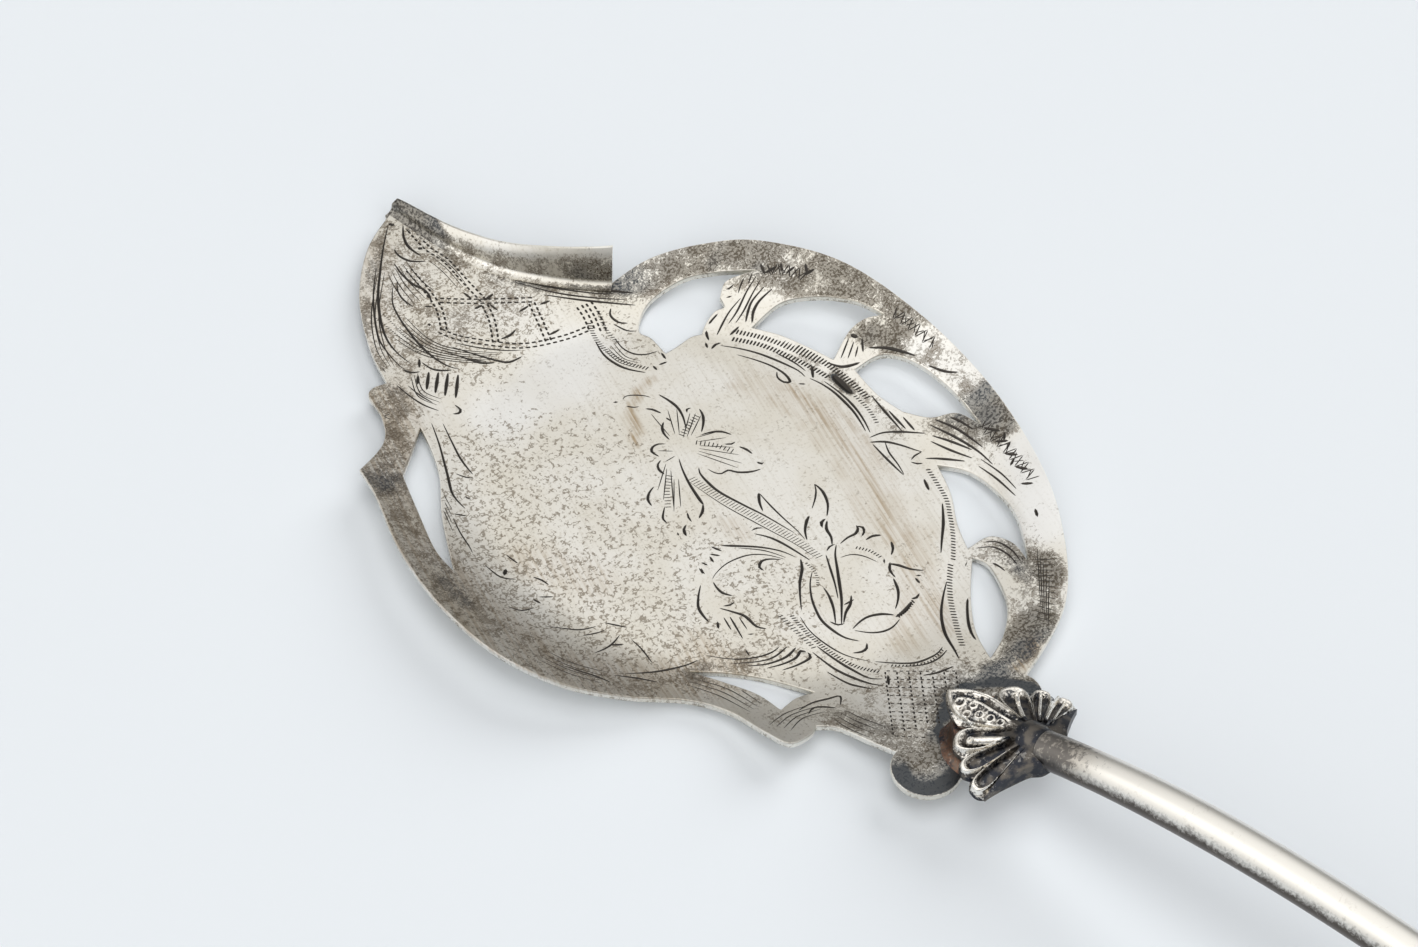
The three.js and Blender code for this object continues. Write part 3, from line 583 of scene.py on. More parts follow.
right_border = [
    (0.4, 0.6, (31.2, 20), (32.6, 17.5), (33.6, 15), (34.3, 12), (34.7, 9), (34.4, 7.4)),
    (0.4, 0.7, (31.4, 17.2), (32.4, 14.5), (33, 12), (33, 9.8), (32.4, 8.4), (31.8, 9), (31.9, 10.2),
     (32.7, 11)),
    (0.3, 0.5, (35.2, 13.4), (35.5, 10.4), (35.3, 8.1)),
    (0.43, 0.5, (34.6, 7), (34.9, 5), (34.8, 2.5), (34, -1), (33, -3.4), (32.1, -5.1)),
    (0.38, 0.5, (35.5, 5.2), (35.3, 2.3), (34.7, -0.6), (33.7, -3.2), (32.3, -5.7)),
    (0.44, 0.5, (34.9, 6.5), (36.7, 8.3)), (0.3, 0.5, (32.8, 7.4), (33.5, 6.5)),
    (1.2, 0.4, (37.1, 5), (36.2, 0.7)),
    (0.38, 0.5, (37.6, -1.3), (36.9, -3.5), (36.2, -5.8), (35.3, -8.7)),
    (0.38, 0.5, (37, -4.8), (35.9, -8.8)), (0.36, 0.6, (37.3, -7), (36.4, -9.9)),
    (0.42, 0.3, (30.9, -6.6), (32.4, -8.1), (33.3, -10), (33.9, -12), (34.2, -13)),
    (0.4, 0.5, (31.5, -6.1), (33.4, -6.8), (35, -8.3), (36, -9.8), (36.9, -11.4)),
    (0.38, 0.5, (31, -7.1), (30.3, -9.8), (29.8, -12), (29.4, -13.9)),
    (0.28, 0.4, (32.4, -8.1), (31.3, -9.7), (30.4, -12), (29.5, -13.8)),
    (0.3, 0.5, (31.8, -12.8), (32.2, -13.8), (32.8, -14.3)),
    (0.3, 0.5, (32.1, -12.8), (33, -12.6), (34.3, -12.9)),
    (0.43, 0.5, (33.5, -13.9), (34.4, -15.1), (35.3, -16.8), (36.1, -18.7)),
    (0.46, 0.5, (29.5, -18), (30.7, -16.1)),
    (0.4, 0.5, (29.7, 20.8), (30.4, 21.8)), (0.42, 0.5, (29.9, 20.3), (31, 20.5), (31.8, 20.1)),
    (0.4, 0.5, (33.4, 20.2), (35.5, 20.2)),
]
arch_leaves = [
    (0.4, 0.85, (37, 23.7), (35.2, 23.8), (33, 23.6), (31.8, 22.9), (30.9, 21.6)),
    (0.4, 0.85, (35.9, 24.5), (33.7, 24.4), (32, 23.8), (30.8, 22.9)),
    (0.3, 0.7, (38.9, 22.9), (36.5, 22.8), (34.5, 22.3), (32.3, 21.5)),
    (0.3, 0.6, (42.6, 23.3), (40, 22.9), (37, 22), (34.7, 21.6)),
    (0.28, 0.6, (42.5, 22.5), (40, 22), (37.5, 21.3), (35.4, 20.9)),
    (0.38, 0.7, (42.1, 21.4), (39.5, 21.4), (37.9, 20.8), (36.4, 19.9)),
    (0.44, 0.6, (42.4, 20.3), (40, 20.6), (38.3, 20.2), (37.2, 19.4), (36.4, 18.9)),
    (0.43, 0.6, (38.6, 26.1), (37.6, 25.8), (37.1, 25.1), (37.5, 24.6), (38.4, 24)),
    (0.26, 0.5, (39.8, 25), (38.8, 25.1), (38.2, 25.7)),
    (0.24, 0.5, (41.9, 24.6), (40.3, 24.2), (39, 23.6)), (0.24, 0.5, (42.4, 24), (40.8, 23.4)),
    (0.5, 0.5, (38.2, 7), (38.8, 5), (40, 3.8), (41.6, 2.8)),
    (0.26, 0.5, (39.4, 6.6), (42.6, 7.7)), (0.26, 0.5, (39.7, 5.8), (42.8, 7)),
    (0.24, 0.5, (40.2, 5), (42.8, 6.1)), (0.24, 0.5, (40.9, 4.3), (42.6, 5.2)),
    (0.7, 0.5, (43.2, 7.2), (43.5, 5.9)), (0.36, 0.5, (42.1, 3.9), (43.7, 5.5)),
    (0.5, 0.5, (43, 3.8), (44.2, 1.8), (44.9, -0.5), (45.3, -2.6)),
    (0.4, 0.5, (44.7, -1.6), (44.7, -5), (44.5, -8), (43.9, -10.8)),
    (0.4, 0.5, (45, -4.8), (45.4, -7.5), (46.1, -9.2)),
    (0.38, 0.5, (36.2, -12.6), (36.5, -16), (36.9, -19.2)),
    (0.4, 0.5, (37, -12.2), (37.6, -15), (37.9, -18.3)),
    (0.4, 0.4, (38.2, -10.8), (38.4, -15), (38.1, -19), (37.3, -22.2)),
    (0.4, 0.4, (39.1, -10.4), (39.5, -13.6), (39.3, -16.4), (38.8, -19.4)),
    (0.4, 0.4, (40.1, -11), (40.6, -13.5), (40.4, -16.5)),
    (0.44, 0.4, (41, -11.9), (41.5, -14), (41, -16.6)),
    (0.3, 0.5, (36.3, -20.5), (35.8, -24), (34.7, -28)), (0.24, 0.5, (37.3, -20), (36.7, -24), (35.6, -27.4)),
    (0.42, 0.5, (26.8, -28.2), (28.3, -29.6), (28.7, -31.3), (28, -33.6), (26.9, -35.4)),
    (0.28, 0.5, (25.4, -28.8), (26.8, -30.6), (26.8, -33), (26, -35.2)),
    (0.26, 0.5, (26.2, -28.4), (27.7, -30.4), (27.6, -33), (26.6, -35.3)),
]
arch_flicks = [
    ((41.2, -17.3), (41.8, -19.8)), ((40.2, -20), (41.1, -21.7)), ((41.9, -20.3), (40.8, -21.1)),
    ((39.3, -22.3), (39.9, -24.2)), ((38.3, -24.8), (38.7, -26.8)), ((36.5, -27.2), (37.3, -28.8)),
    ((39.9, -22.2), (41.1, -21.9)), ((38.1, -24.3), (39.3, -24)), ((33.3, -32.6), (34.3, -31.3)),
    ((43.6, 29.8), (44.9, 27.6)), ((46, 25.7), (46.9, 24.2)), ((47.9, 21.5), (48.7, 19.8)),
    ((43.3, 22.6), (45, 21.8)), ((44.9, 20.2), (46.4, 19.7)), ((46, 18), (47.6, 17.2)),
    ((44, 24), (43.2, 22.4)), ((45.7, 21.8), (44.7, 20.6)), ((47.4, 18.9), (46.4, 17.5)),
]

for width, swell, *points in (flower + left_scroll + tulip + right_scroll + left_fronds + heel_work
                              + tip_fronds + leaf_scroll + right_border + arch_leaves):
    cut(points, width, swell)
for points in flower_shading:
    cut(points, 0.16)
for points in bars:
    cut(points, 0.5)
for points in arch_flicks:
    cut(points, 0.45)

# Each row is a spacing, a length, a width, a lean, and the points of the line that the ticks follow.
tick_rows = [
    (0.46, 1.3, 0.11, 0.25, (10.5, 6.5), (10.5, 2), (10.7, -1), (11.2, -6), (11.5, -11), (11.3, -15)),
    (0.5, 0.8, 0.16, 0.3, (0.6, -17.5), (0, -21), (-0.6, -24.5)),
    (0.42, 0.7, 0.18, 0.3, (1.6, -18.6), (0.7, -22), (0.3, -26), (0.6, -30), (1.8, -33)),
    (0.4, 0.5, 0.14, 0.2, (9.4, -14.2), (9, -16.2), (7.5, -18)),
    (0.38, 0.7, 0.22, 0.4, (10.3, -28.7), (12, -28.7), (13.6, -28.5)),
    (0.42, 0.6, 0.16, 0.2, (15.6, -17.2), (16.4, -19), (16.5, -21)),
    (0.5, 0.75, 0.22, 0.3, (32.4, -15.3), (31.2, -17.9), (29.8, -20.6), (27.7, -23), (25.3, -25.4),
     (22.1, -28)),
    (0.5, 0.9, 0.22, 0.3, (21.6, -28), (19.3, -29.7), (16.8, -31.9), (14.8, -34.1), (12.9, -36.3),
     (11.4, -38.2)),
    (0.45, 0.5, 0.16, 0.3, (3.4, -33.2), (5, -35.2), (7, -36.6), (9.4, -36.6)),
    (0.45, 0.8, 0.18, 0.35, (22.4, 36), (20.7, 32.6), (20.2, 29.5), (20.5, 26.6), (21.6, 24)),
    (0.5, 0.7, 0.16, 0.35, (24.8, 36.5), (23.2, 33.5), (22.4, 30.6)),
    (0.5, 0.95, 0.27, 0.15, (33.2, 19.6), (34.9, 16), (35.8, 12), (36.3, 8), (36.4, 5.2)),
    (0.5, 0.95, 0.25, 0.15, (34.5, 20), (36.2, 16), (37.1, 12), (37.6, 8)),
    (0.5, 1.1, 0.26, 0.15, (35.9, 18.2), (37.2, 14.6), (37.8, 10.6), (38, 6.4), (37.6, 2), (36.9, -1.6)),
    (0.5, 0.7, 0.2, 0.2, (36.2, 0.4), (35.5, -2.6), (34.2, -5.4)),
    (0.42, 0.3, 0.14, 0.6, (2.9, 58), (2.7, 53), (2.5, 48.5)),
    (0.42, 0.3, 0.14, 0.6, (4.1, 57), (3.4, 52), (3, 47.6)),
]
for spacing, length, width, lean, *points in tick_rows:
    ticks(points, spacing, length, width, lean)

lattice = [
    [(18.2, 66), (17.2, 61.6), (17.2, 58.1), (16.2, 53.1), (15.4, 49)],
    [(12.5, 60.6), (11.3, 55.7), (10.1, 52.2), (7.6, 48.7)],
    [(11.2, 53.4), (15.4, 48.8), (20.2, 44)],
    [(15, 48.4), (13.5, 45.5), (10.9, 42.2)],
    [(19.6, 44), (18, 40.8), (16.3, 37.6)],
    [(23.6, 38.9), (22.9, 36.8), (21.6, 34.4)],
    [(24.9, 38.4), (24.1, 36), (22.7, 33.4)],
    [(7.3, 49.4), (8.2, 46.4), (11, 42.1), (13.7, 39.1), (18.4, 36.4), (21.9, 35.2)],
]
for points in lattice:
    double_row(points, apart=0.76, spacing=0.92, length=0.72, width=0.3)

# Shading. Each row is a number of strokes, their width, and the first and the last of them.
shading = [
    (7, 0.2, [(2, 53), (2.4, 48), (4.4, 44.2), (7.6, 40.6)],
     [(5.8, 54.5), (5.2, 49), (6.6, 45), (10.4, 40.4)]),
    (5, 0.24, [(19.4, 57), (21.4, 49), (24.6, 43), (28.6, 37)],
     [(21.8, 52.5), (24.4, 46.6), (27.4, 41.6), (29.8, 38.2)]),
    (3, 0.18, [(-2.6, 49), (-1, 53), (3, 58), (9, 63)], [(-1.8, 48.6), (0, 52.4), (3.8, 57.4), (10, 62.6)]),
    (6, 0.16, [(10, 62), (8.6, 59), (7.4, 55)], [(13.4, 62), (12.2, 58), (12, 54.6)]),
    (3, 0.14, [(15.6, 60), (15.4, 57), (14.6, 53)], [(17.2, 60), (16.8, 56), (15.8, 52.4)]),
    (4, 0.18, [(-12.4, 31), (-15, 26.6), (-17.4, 22)], [(-9.6, 34), (-12.6, 29.4), (-14.6, 25)]),
    (4, 0.2, [(-26.6, -2), (-25.6, -6), (-23.6, -10)], [(-24.4, -1), (-23.4, -5), (-21.2, -9)]),
    (4, 0.2, [(-16, -16.4), (-14.6, -21), (-14.4, -26)], [(-13.6, -16.6), (-12, -21), (-12.2, -26)]),
    (4, 0.2, [(-15, -29.4), (-11.6, -29.2), (-8, -30.4)], [(-14, -32), (-11, -31.4), (-8, -32.6)]),
    (4, 0.18, [(-8.6, -34), (-8.8, -37), (-8.4, -40)], [(-6.4, -34), (-6.2, -37), (-5.6, -40)]),
    (4, 0.16, [(20.2, 31), (19.8, 28), (20.6, 25.4)], [(22, 31), (21.2, 28), (22, 25.8)]),
    (3, 0.18, [(-1.4, 46), (-3.4, 42.6), (-2.6, 39.6)], [(-0.4, 45.8), (-2.2, 42.8), (-1.4, 40)]),
]
for count, width, first, last in shading:
    hatch(first, last, count, width)
# Fine ticks on three of the flower's petals.
ticks([(15.2, 12.4), (17.4, 13), (19.6, 13.4)], spacing=0.5, length=1.1, width=0.15)
ticks([(15.6, 10.4), (17, 8), (17.8, 5.4)], spacing=0.55, length=1.0, width=0.14)
ticks([(4.6, 5), (7, 7.4), (9.4, 9)], spacing=0.55, length=1.0, width=0.14)

# Two sets of pricked rows cross on the heel. Each gets shorter from row to row.
heel_corner = np.array((2.3, -33.3))
toward_ear, toward_shell = np.array((-8.6, -8.4)), np.array((5.2, -6.9))
heel_rows = [
    (toward_shell, toward_ear, 7, 0.35),
    (toward_ear, toward_shell, 9, 0.5),
]
for side, row, count, shortening in heel_rows:
    for share in np.linspace(0, 1, count):
        start = heel_corner + share * side
        end = start + (1 - shortening * share) * row
        pricks([start, end], spacing=0.8, length=0.55, width=0.21)

# Wriggled bands on the arch, crossed lines at its foot, and a wriggled line below the tip.
arch_bands = [
    [(43.6, 23), (45.3, 20.4), (46.3, 17)],
    [(48.6, 4.6), (48.3, 0.7), (47.6, -4)],
    [(42.6, -14.6), (41.2, -18.1), (40.3, -21.5), (39.1, -25.1), (37.7, -28.5)],
]
for points in arch_bands:
    wriggle(points, pitch=0.72, band=1.8, width=0.17)
    wriggle(points, pitch=0.9, band=1.1, width=0.14)
hatch([(29.4, -35.6), (22, -42)], [(27, -39.4), (19.6, -45)], count=5, width=0.13)
ticks([(28.6, -37), (24.6, -41), (20.4, -43.6)], spacing=0.9, length=2.6, width=0.13, lean=0.3)
wriggle([(-18.4, 36.6), (-13, 39), (-8.6, 43)], pitch=0.6, band=1.0, width=0.14)


# The blade's mesh: the plan is divided into triangles that keep every outline and cut, then the
# points are lifted onto the dish and the middles of the cuts are sunk.
CUT_SLOPE = 0.42
EDGE_ROUNDING = 0.16
STEEP_ROUNDING = 0.4 * EDGE_ROUNDING
CUT_CLEARANCE = 1.5 * EDGE_ROUNDING
GRID_CLEARANCE = 2 * EDGE_ROUNDING
GRID_STEP = 1.25
ROW_STEP = 0.866 * GRID_STEP
JOIN_WITHIN = 1e-5
THINNEST_CUT = 0.04


def left_normals(line, closed):
    """The direction to the left at each point of a line."""
    ahead = np.roll(line, -1, axis=0) - np.roll(line, 1, axis=0)
    if not closed:
        ahead[0] = line[1] - line[0]
        ahead[-1] = line[-1] - line[-2]
    ahead /= np.maximum(np.linalg.norm(ahead, axis=1), 1e-9)[:, None]
    return np.column_stack([-ahead[:, 1], ahead[:, 0]])


def inside_blade(points):
    """Whether each point lies on the sheet, inside the outline and outside its piercings."""
    inside = np.zeros(len(points), bool)
    x, y = points.T
    for loop in loops:
        for (x1, y1), (x2, y2) in zip(loop, np.roll(loop, -1, axis=0)):
            if y1 != y2:
                crosses = ((y1 > y) != (y2 > y)) & (x < (x2 - x1) * (y - y1) / (y2 - y1) + x1)
                inside ^= crosses
    return inside


# Points along every outline, to find the nearest one with.
edge_tree_points = np.vstack([
    start + (end - start) * share
    for loop in loops
    for start, end in zip(loop, np.roll(loop, -1, axis=0))
    for share in (0, 0.25, 0.5, 0.75)
])
edge_tree = kdtree.KDTree(len(edge_tree_points))
for index, (x, y) in enumerate(edge_tree_points):
    edge_tree.insert((x, y, 0), index)
edge_tree.balance()


def edge_distance(points):
    """How far each point lies from the nearest outline or piercing."""
    return np.array([edge_tree.find((x, y, 0))[2] for x, y in points])


def insets(loop, distance):
    """A closed line that keeps its distance from an outline, on the sheet's side of it."""
    normals = left_normals(loop, True)
    for side in (1, -1):
        line = loop + side * distance * normals
        if inside_blade(line[::7]).mean() > 0.5:
            return line


def grid_points():
    """Points in even rows all over the sheet, clear of its edges."""
    low, high = outline.min(axis=0), outline.max(axis=0)
    rows = []
    for row, y in enumerate(np.arange(low[1], high[1], ROW_STEP)):
        xs = np.arange(low[0] + (row % 2) * GRID_STEP / 2, high[0], GRID_STEP)
        rows.append(np.column_stack([xs, np.full(len(xs), y)]))
    grid = np.vstack(rows)
    return grid[inside_blade(grid) & (edge_distance(grid) > GRID_CLEARANCE)]


def triangulate(chains, extra):
    """Points and triangles of the blade's plan, which keep the chains as edges. A chain is a line and
    whether it is closed."""
    points, edges = [], []
    for line, closed in chains:
        first = len(points)
        points.extend(line.tolist())
        edges.extend((first + i, first + i + 1) for i in range(len(line) - 1))
        if closed:
            edges.append((len(points) - 1, first))
    points.extend(extra.tolist())
    result = delaunay_2d_cdt([Vector(point) for point in points], edges, [], 0, JOIN_WITHIN)
    plan = np.array([tuple(point) for point in result[0]])
    faces = np.array([face for face in result[2] if len(face) == 3])
    faces = faces[inside_blade(plan[faces].mean(axis=1))]
    used, faces = np.unique(faces, return_inverse=True)
    return plan[used], faces.reshape(-1, 3)


# Only the parts of the cuts that keep clear of the sheet's edges are made, each run out to a point.
cut_points = np.vstack([line for line, half_widths in cuts])
cut_margin = np.concatenate([half_widths for line, half_widths in cuts]) + CUT_CLEARANCE
all_clear = inside_blade(cut_points) & (edge_distance(cut_points) > cut_margin)
kept_cuts = []
first = 0
for line, half_widths in cuts:
    clear = all_clear[first:first + len(line)]
    first += len(line)
    start = 0
    while start < len(line):
        end = start
        while end < len(line) and clear[end]:
            end += 1
        if end - start >= 3:
            widths = half_widths[start:end].copy()
            widths[[0, -1]] = 0
            kept_cuts.append((line[start:end], widths))
        start = end + 1

rim_chains = []
for loop in loops:
    rim_chains += [(line, True) for line in (loop, insets(loop, STEEP_ROUNDING), insets(loop, EDGE_ROUNDING))]
cut_chains = []
for line, half_widths in kept_cuts:
    offset = left_normals(line, False) * half_widths[:, None]
    cut_chains += [(line, False), (line + offset, False), (line - offset, False)]
grid = grid_points()
plan, faces = triangulate(rim_chains + cut_chains, grid)

# Each point that lies on a cut is sunk, most in the cut's middle.
order = np.argsort(plan[:, 0])
sorted_x = plan[order, 0]
groove = np.zeros(len(plan))
depth = np.zeros(len(plan))
for line, half_widths in kept_cuts:
    for start, end, wide_start, wide_end in zip(line, line[1:], half_widths, half_widths[1:]):
        reach = max(wide_start, wide_end)
        low = np.minimum(start, end) - reach
        high = np.maximum(start, end) + reach
        near = order[np.searchsorted(sorted_x, low[0]):np.searchsorted(sorted_x, high[0])]
        near = near[(plan[near, 1] > low[1]) & (plan[near, 1] < high[1])]
        if len(near) == 0:
            continue
        run = end - start
        share = (plan[near] - start) @ run / (run @ run)
        beside = (share > -0.01) & (share < 1.01)
        near, share = near[beside], share[beside]
        away = np.linalg.norm(plan[near] - start - share[:, None] * run, axis=1)
        wide = wide_start + (wide_end - wide_start) * share
        sunk = np.clip(wide - away, 0, None)
        depth[near] = np.maximum(depth[near], CUT_SLOPE * sunk)
        groove[near] = np.maximum(groove[near], sunk / np.maximum(wide, THINNEST_CUT))


def rounding(points):
    """How far the sheet's rounded edges fall back from its faces."""
    away = np.minimum(edge_distance(points) / EDGE_ROUNDING, 1)
    return EDGE_ROUNDING * (1 - np.sqrt(1 - (1 - away) ** 2))


top_z = rise_at(plan) + SHEET_GAUGE - depth - rounding(plan)
# The underside is plain, so a third of the even points is enough for it.
under_plan, under_faces = triangulate(rim_chains, grid[::3])
under_z = rise_at(under_plan) + rounding(under_plan)


def rim_edges(faces):
    """Directed edges that only one triangle has."""
    pairs = np.vstack([faces[:, [0, 1]], faces[:, [1, 2]], faces[:, [2, 0]]])
    seen = {tuple(pair) for pair in pairs.tolist()}
    return [pair for pair in seen if (pair[1], pair[0]) not in seen]


# The sheet's edges: a wall between each edge of the top and the same edge of the underside.
under_at = {(round(x, 4), round(y, 4)): index for index, (x, y) in enumerate(under_plan)}
first_under = len(plan)
walls = []
for a, b in rim_edges(faces):
    a_under = first_under + under_at[tuple(np.round(plan[a], 4))]
    b_under = first_under + under_at[tuple(np.round(plan[b], 4))]
    walls.append((a, a_under, b_under, b))
blade_points = np.vstack([
    np.column_stack([plan, top_z]),
    np.column_stack([under_plan, under_z]),
])
blade_faces = faces.tolist() + (under_faces[:, ::-1] + first_under).tolist() + walls

# The lip: the sheet's right edge beside the tip, bent up and slightly out.
LIP_AT_TIP, LIP_AT_NOTCH = 2.2, 6.3
LIP_LEAN, LIP_BEND, LIP_INSET, LIP_FLARE = 0.16, 1.1, 1.4, 0.5
LIP_MIDDLE = SHEET_GAUGE / 2
LIP_STAND = 0.4 * LIP_BEND
LIP_HALF, LIP_RIM_HALF = 0.47 * SHEET_GAUGE, 0.25 * SHEET_GAUGE
LIP_STEPS = 70
LIP_SECTION_STEPS = 26
fold = spline(on_oval(lip_fold + tip_edge[:1]), 0.1)
fold = fold[np.linspace(0, len(fold) - 1, LIP_STEPS).astype(int)]
outward = -left_normals(fold, False)
lip_rings = []
for step, (place, out_way) in enumerate(zip(fold, outward)):
    lip_height = LIP_AT_NOTCH + (LIP_AT_TIP - LIP_AT_NOTCH) * step / (LIP_STEPS - 1)
    # The section starts flat inside the sheet, bends up tightly and leans out to the rim.
    section = spline([
        (-LIP_INSET, LIP_MIDDLE), (-LIP_BEND, LIP_MIDDLE),
        (-0.35 * LIP_BEND, LIP_MIDDLE + 0.15 * LIP_BEND), (0.2 * LIP_BEND, LIP_MIDDLE + 0.65 * LIP_BEND),
        (LIP_STAND, LIP_MIDDLE + 1.4 * LIP_BEND),
        (LIP_STAND + 0.6 * LIP_LEAN * lip_height, 0.75 * lip_height),
        (LIP_STAND + LIP_LEAN * lip_height + LIP_FLARE, lip_height),
    ], 0.2)
    marks = np.linspace(0, len(section) - 1, LIP_SECTION_STEPS)
    section = part_way(section, np.arange(len(section)), marks)
    half = np.full(LIP_SECTION_STEPS, LIP_HALF)
    half[-1] = LIP_RIM_HALF
    side = left_normals(section, False) * half[:, None]
    ring = np.vstack([section + side, (section - side)[::-1]])
    base = rise_at(place)
    lip_rings.append([(*(place + out_way * out), base + up) for out, up in ring])


def ring_sides(ring_count, count):
    """Faces between each ring of points and the next."""
    faces = []
    for first in range(0, (ring_count - 1) * count, count):
        for side in range(count):
            here, after = first + side, first + (side + 1) % count
            faces.append((here, after, after + count, here + count))
    return faces


lip_points = np.array([point for ring in lip_rings for point in ring])
per_ring = len(lip_rings[0])
lip_faces = ring_sides(LIP_STEPS, per_ring)
lip_faces.append(tuple(range(per_ring))[::-1])
lip_faces.append(tuple(range((LIP_STEPS - 1) * per_ring, LIP_STEPS * per_ring)))


def new_piece(name, points, faces, sharp_degrees):
    """A smooth object from points in millimetres. Edges stay sharp where they turn by more degrees."""
    mesh = bpy.data.meshes.new(name)
    mesh.from_pydata((np.asarray(points) * MM).tolist(), [], faces)
    mesh.validate()
    mesh.shade_smooth()
    mesh.set_sharp_from_angle(angle=math.radians(sharp_degrees))
    return new_object(name, mesh)


def set_shares(mesh, name, values):
    """A number for each point of the mesh, for its material to read."""
    layer = mesh.attributes.new(name, "FLOAT", "POINT")
    layer.data.foreach_set("value", np.asarray(values, dtype=np.float32))


def joined(parts):
    """Points and faces of several parts as one mesh."""
    points, faces = [], []
    first = 0
    for part_points, part_faces in parts:
        points.append(part_points)
        faces += [tuple(index + first for index in face) for face in part_faces]
        first += len(part_points)
    return np.vstack(points), faces


sheet_and_lip = joined([(blade_points, blade_faces), (lip_points, lip_faces)])
blade = new_piece("engraved_blade", *sheet_and_lip, sharp_degrees=16)

# Where the blade is tarnished. Each row is an amount, half a width and the points of a soft stroke.
grime_strokes = [
    (0.56, 4.4, (-7, 44.6), (-13, 39), (-18, 35)),
    (0.38, 4.4, (-20, 31), (-24, 21), (-26, 14)),
    (0.2, 1.3, (-20, 31), (-23, 23), (-25.6, 15), (-26.6, 6)),
    (0.14, 4.0, (-26, 14), (-27.6, 4), (-27, -5), (-24, -12), (-18, -17)),
    (0.22, 1.7, (-25, 10), (-25.2, 1), (-24.7, -4), (-23.3, -9), (-20, -13.4), (-15, -15.5)),
    (0.3, 2.2, (-15, -15.5), (-10, -18.6), (-5, -20.4)),
    (0.14, 6.0, (-22, 12), (-23, 0), (-18, -9), (-8, -17)),
    (0.27, 2.4, (-13, -17), (-12, -24), (-13, -30), (-8, -32)),
    (0.4, 2.6, (-8, -35), (-7, -40)),
    (0.3, 5.0, (-4, -37), (6, -40)),
    (0.4, 2.2, (-9, -43), (-2, -42), (4, -41), (9, -42)),
    (1.0, 1.2, (6.5, -43), (3.6, -42.4), (-3, -45.8), (-4.4, -49)),
    (0.9, 3.0, (4, -46), (-2, -50), (8, -50)),
    (1.0, 1.9, (-10.6, -46), (-11.6, -48.4), (-10.4, -50.4), (-7.8, -51.6), (-5, -51.4)),
    (0.72, 2.6, (-8, -47), (-6, -50)),
    (0.4, 2.2, (-7, -45), (-5, -46)),
    (1.0, 1.5, (7.8, -44.6), (9.6, -46.2), (10.6, -48), (10.4, -51)),
    (0.75, 2.0, (11, -44), (14.6, -44.6)),
    (0.72, 2.3, (16, -43), (20, -43)),
    (0.58, 3.4, (18, -44), (22, -42), (26, -39), (28, -34)),
    (0.6, 1.6, (26.8, -39.8), (28.6, -38.2)),
    (0.35, 2.6, (25.6, -29.8), (28, -32), (27, -36)),
    (0.72, 4.2, (31, 37), (36, 35), (41, 30), (45, 23), (47.5, 15), (48.5, 8), (48.5, 0), (47.2, -7),
     (44.5, -13), (42.5, -17)),
    (0.35, 2.6, (42.5, -17), (39.5, -24)),
    (0.4, 1.8, (42.5, 29.6), (44, 26)),
    (0.35, 1.5, (47.4, 17), (48.6, 11)),
    (0.45, 2.2, (47.6, -5.6), (46.2, -11), (43.6, -17)),
    (0.5, 2.0, (38.4, -11.4), (40.2, -15)),
    (0.4, 2.0, (43.8, -14.4), (41.8, -20)),
    (0.6, 1.6, (44.6, 5), (44.4, 0), (45.2, -4)),
    (0.5, 1.3, (43.4, 7), (43.6, 5)),
    (1.0, 0.8, (36.9, 4.6), (36.2, 1.4)),
    (0.45, 1.0, (36.5, 10), (37.6, 4), (37, -2), (35, -8)),
    (0.45, 1.2, (-3.4, 50), (0, 56.6), (4.6, 61), (10, 65), (16.5, 69)),
    (0.36, 5.5, (2, 49), (8, 56), (15, 62)),
    (0.34, 5.0, (12, 47), (20, 47)),
    (0.5, 2.6, (19, 57), (23, 47), (28, 38.5)),
]
# Painted highlights: pale bluish patches where the floor and the arch would mirror bright light.
painted_highlight_strokes = [
    (0.8, 3.4, (41, -25), (36, -31), (33, -34)),
    (0.5, 3.0, (47.5, -3), (46, -10)),
    (0.6, 4.5, (2, 33), (12, 31), (17, 33)),
]
brown_strokes = [
    (0.9, 0.6, (10.6, 16.2), (12, 17.6), (13.4, 19.8)),
    (0.7, 0.7, (13.4, 19.8), (16, 21.6), (20, 22.6)),
    (0.55, 0.7, (31.4, 8), (30.6, 1), (28, -7), (24.2, -14), (19.6, -20)),
    (0.3, 0.3, (28, 8), (27, 0), (23.8, -9), (20, -14.6)),
    (0.34, 0.5, (33.2, 3), (31.6, -4.6), (28.4, -12.4), (23.4, -19.6), (17, -25)),
    (0.3, 0.2, (26.4, 14), (28.6, 8), (28.4, 0)),
    (0.2, 2.6, (29, 12), (30.6, 4), (29, -4), (25, -12), (20, -18)),
    (0.35, 2.4, (22, -22), (15, -28.4), (8, -32)),
    (0.3, 3.0, (-14, 12), (-11, 4)),
    (0.3, 1.4, (7.7, -2.5), (7.4, -5.2)),
    (0.3, 1.8, (-9.8, -11.8), (-9.1, -14.3)),
    (0.4, 1.4, (15.6, -30.6), (13.7, -32.3), (12.2, -34.6)),
    (0.8, 1.0, (12.6, -46), (15.2, -45.4), (17.4, -44.8)),
    (0.45, 4.4, (-8, 44), (-18, 35), (-23.6, 22), (-27, 8), (-26.5, -4), (-20, -13), (-12, -18)),
    (0.3, 2.6, (-2, 52), (4, 60), (12, 66.4)),
]
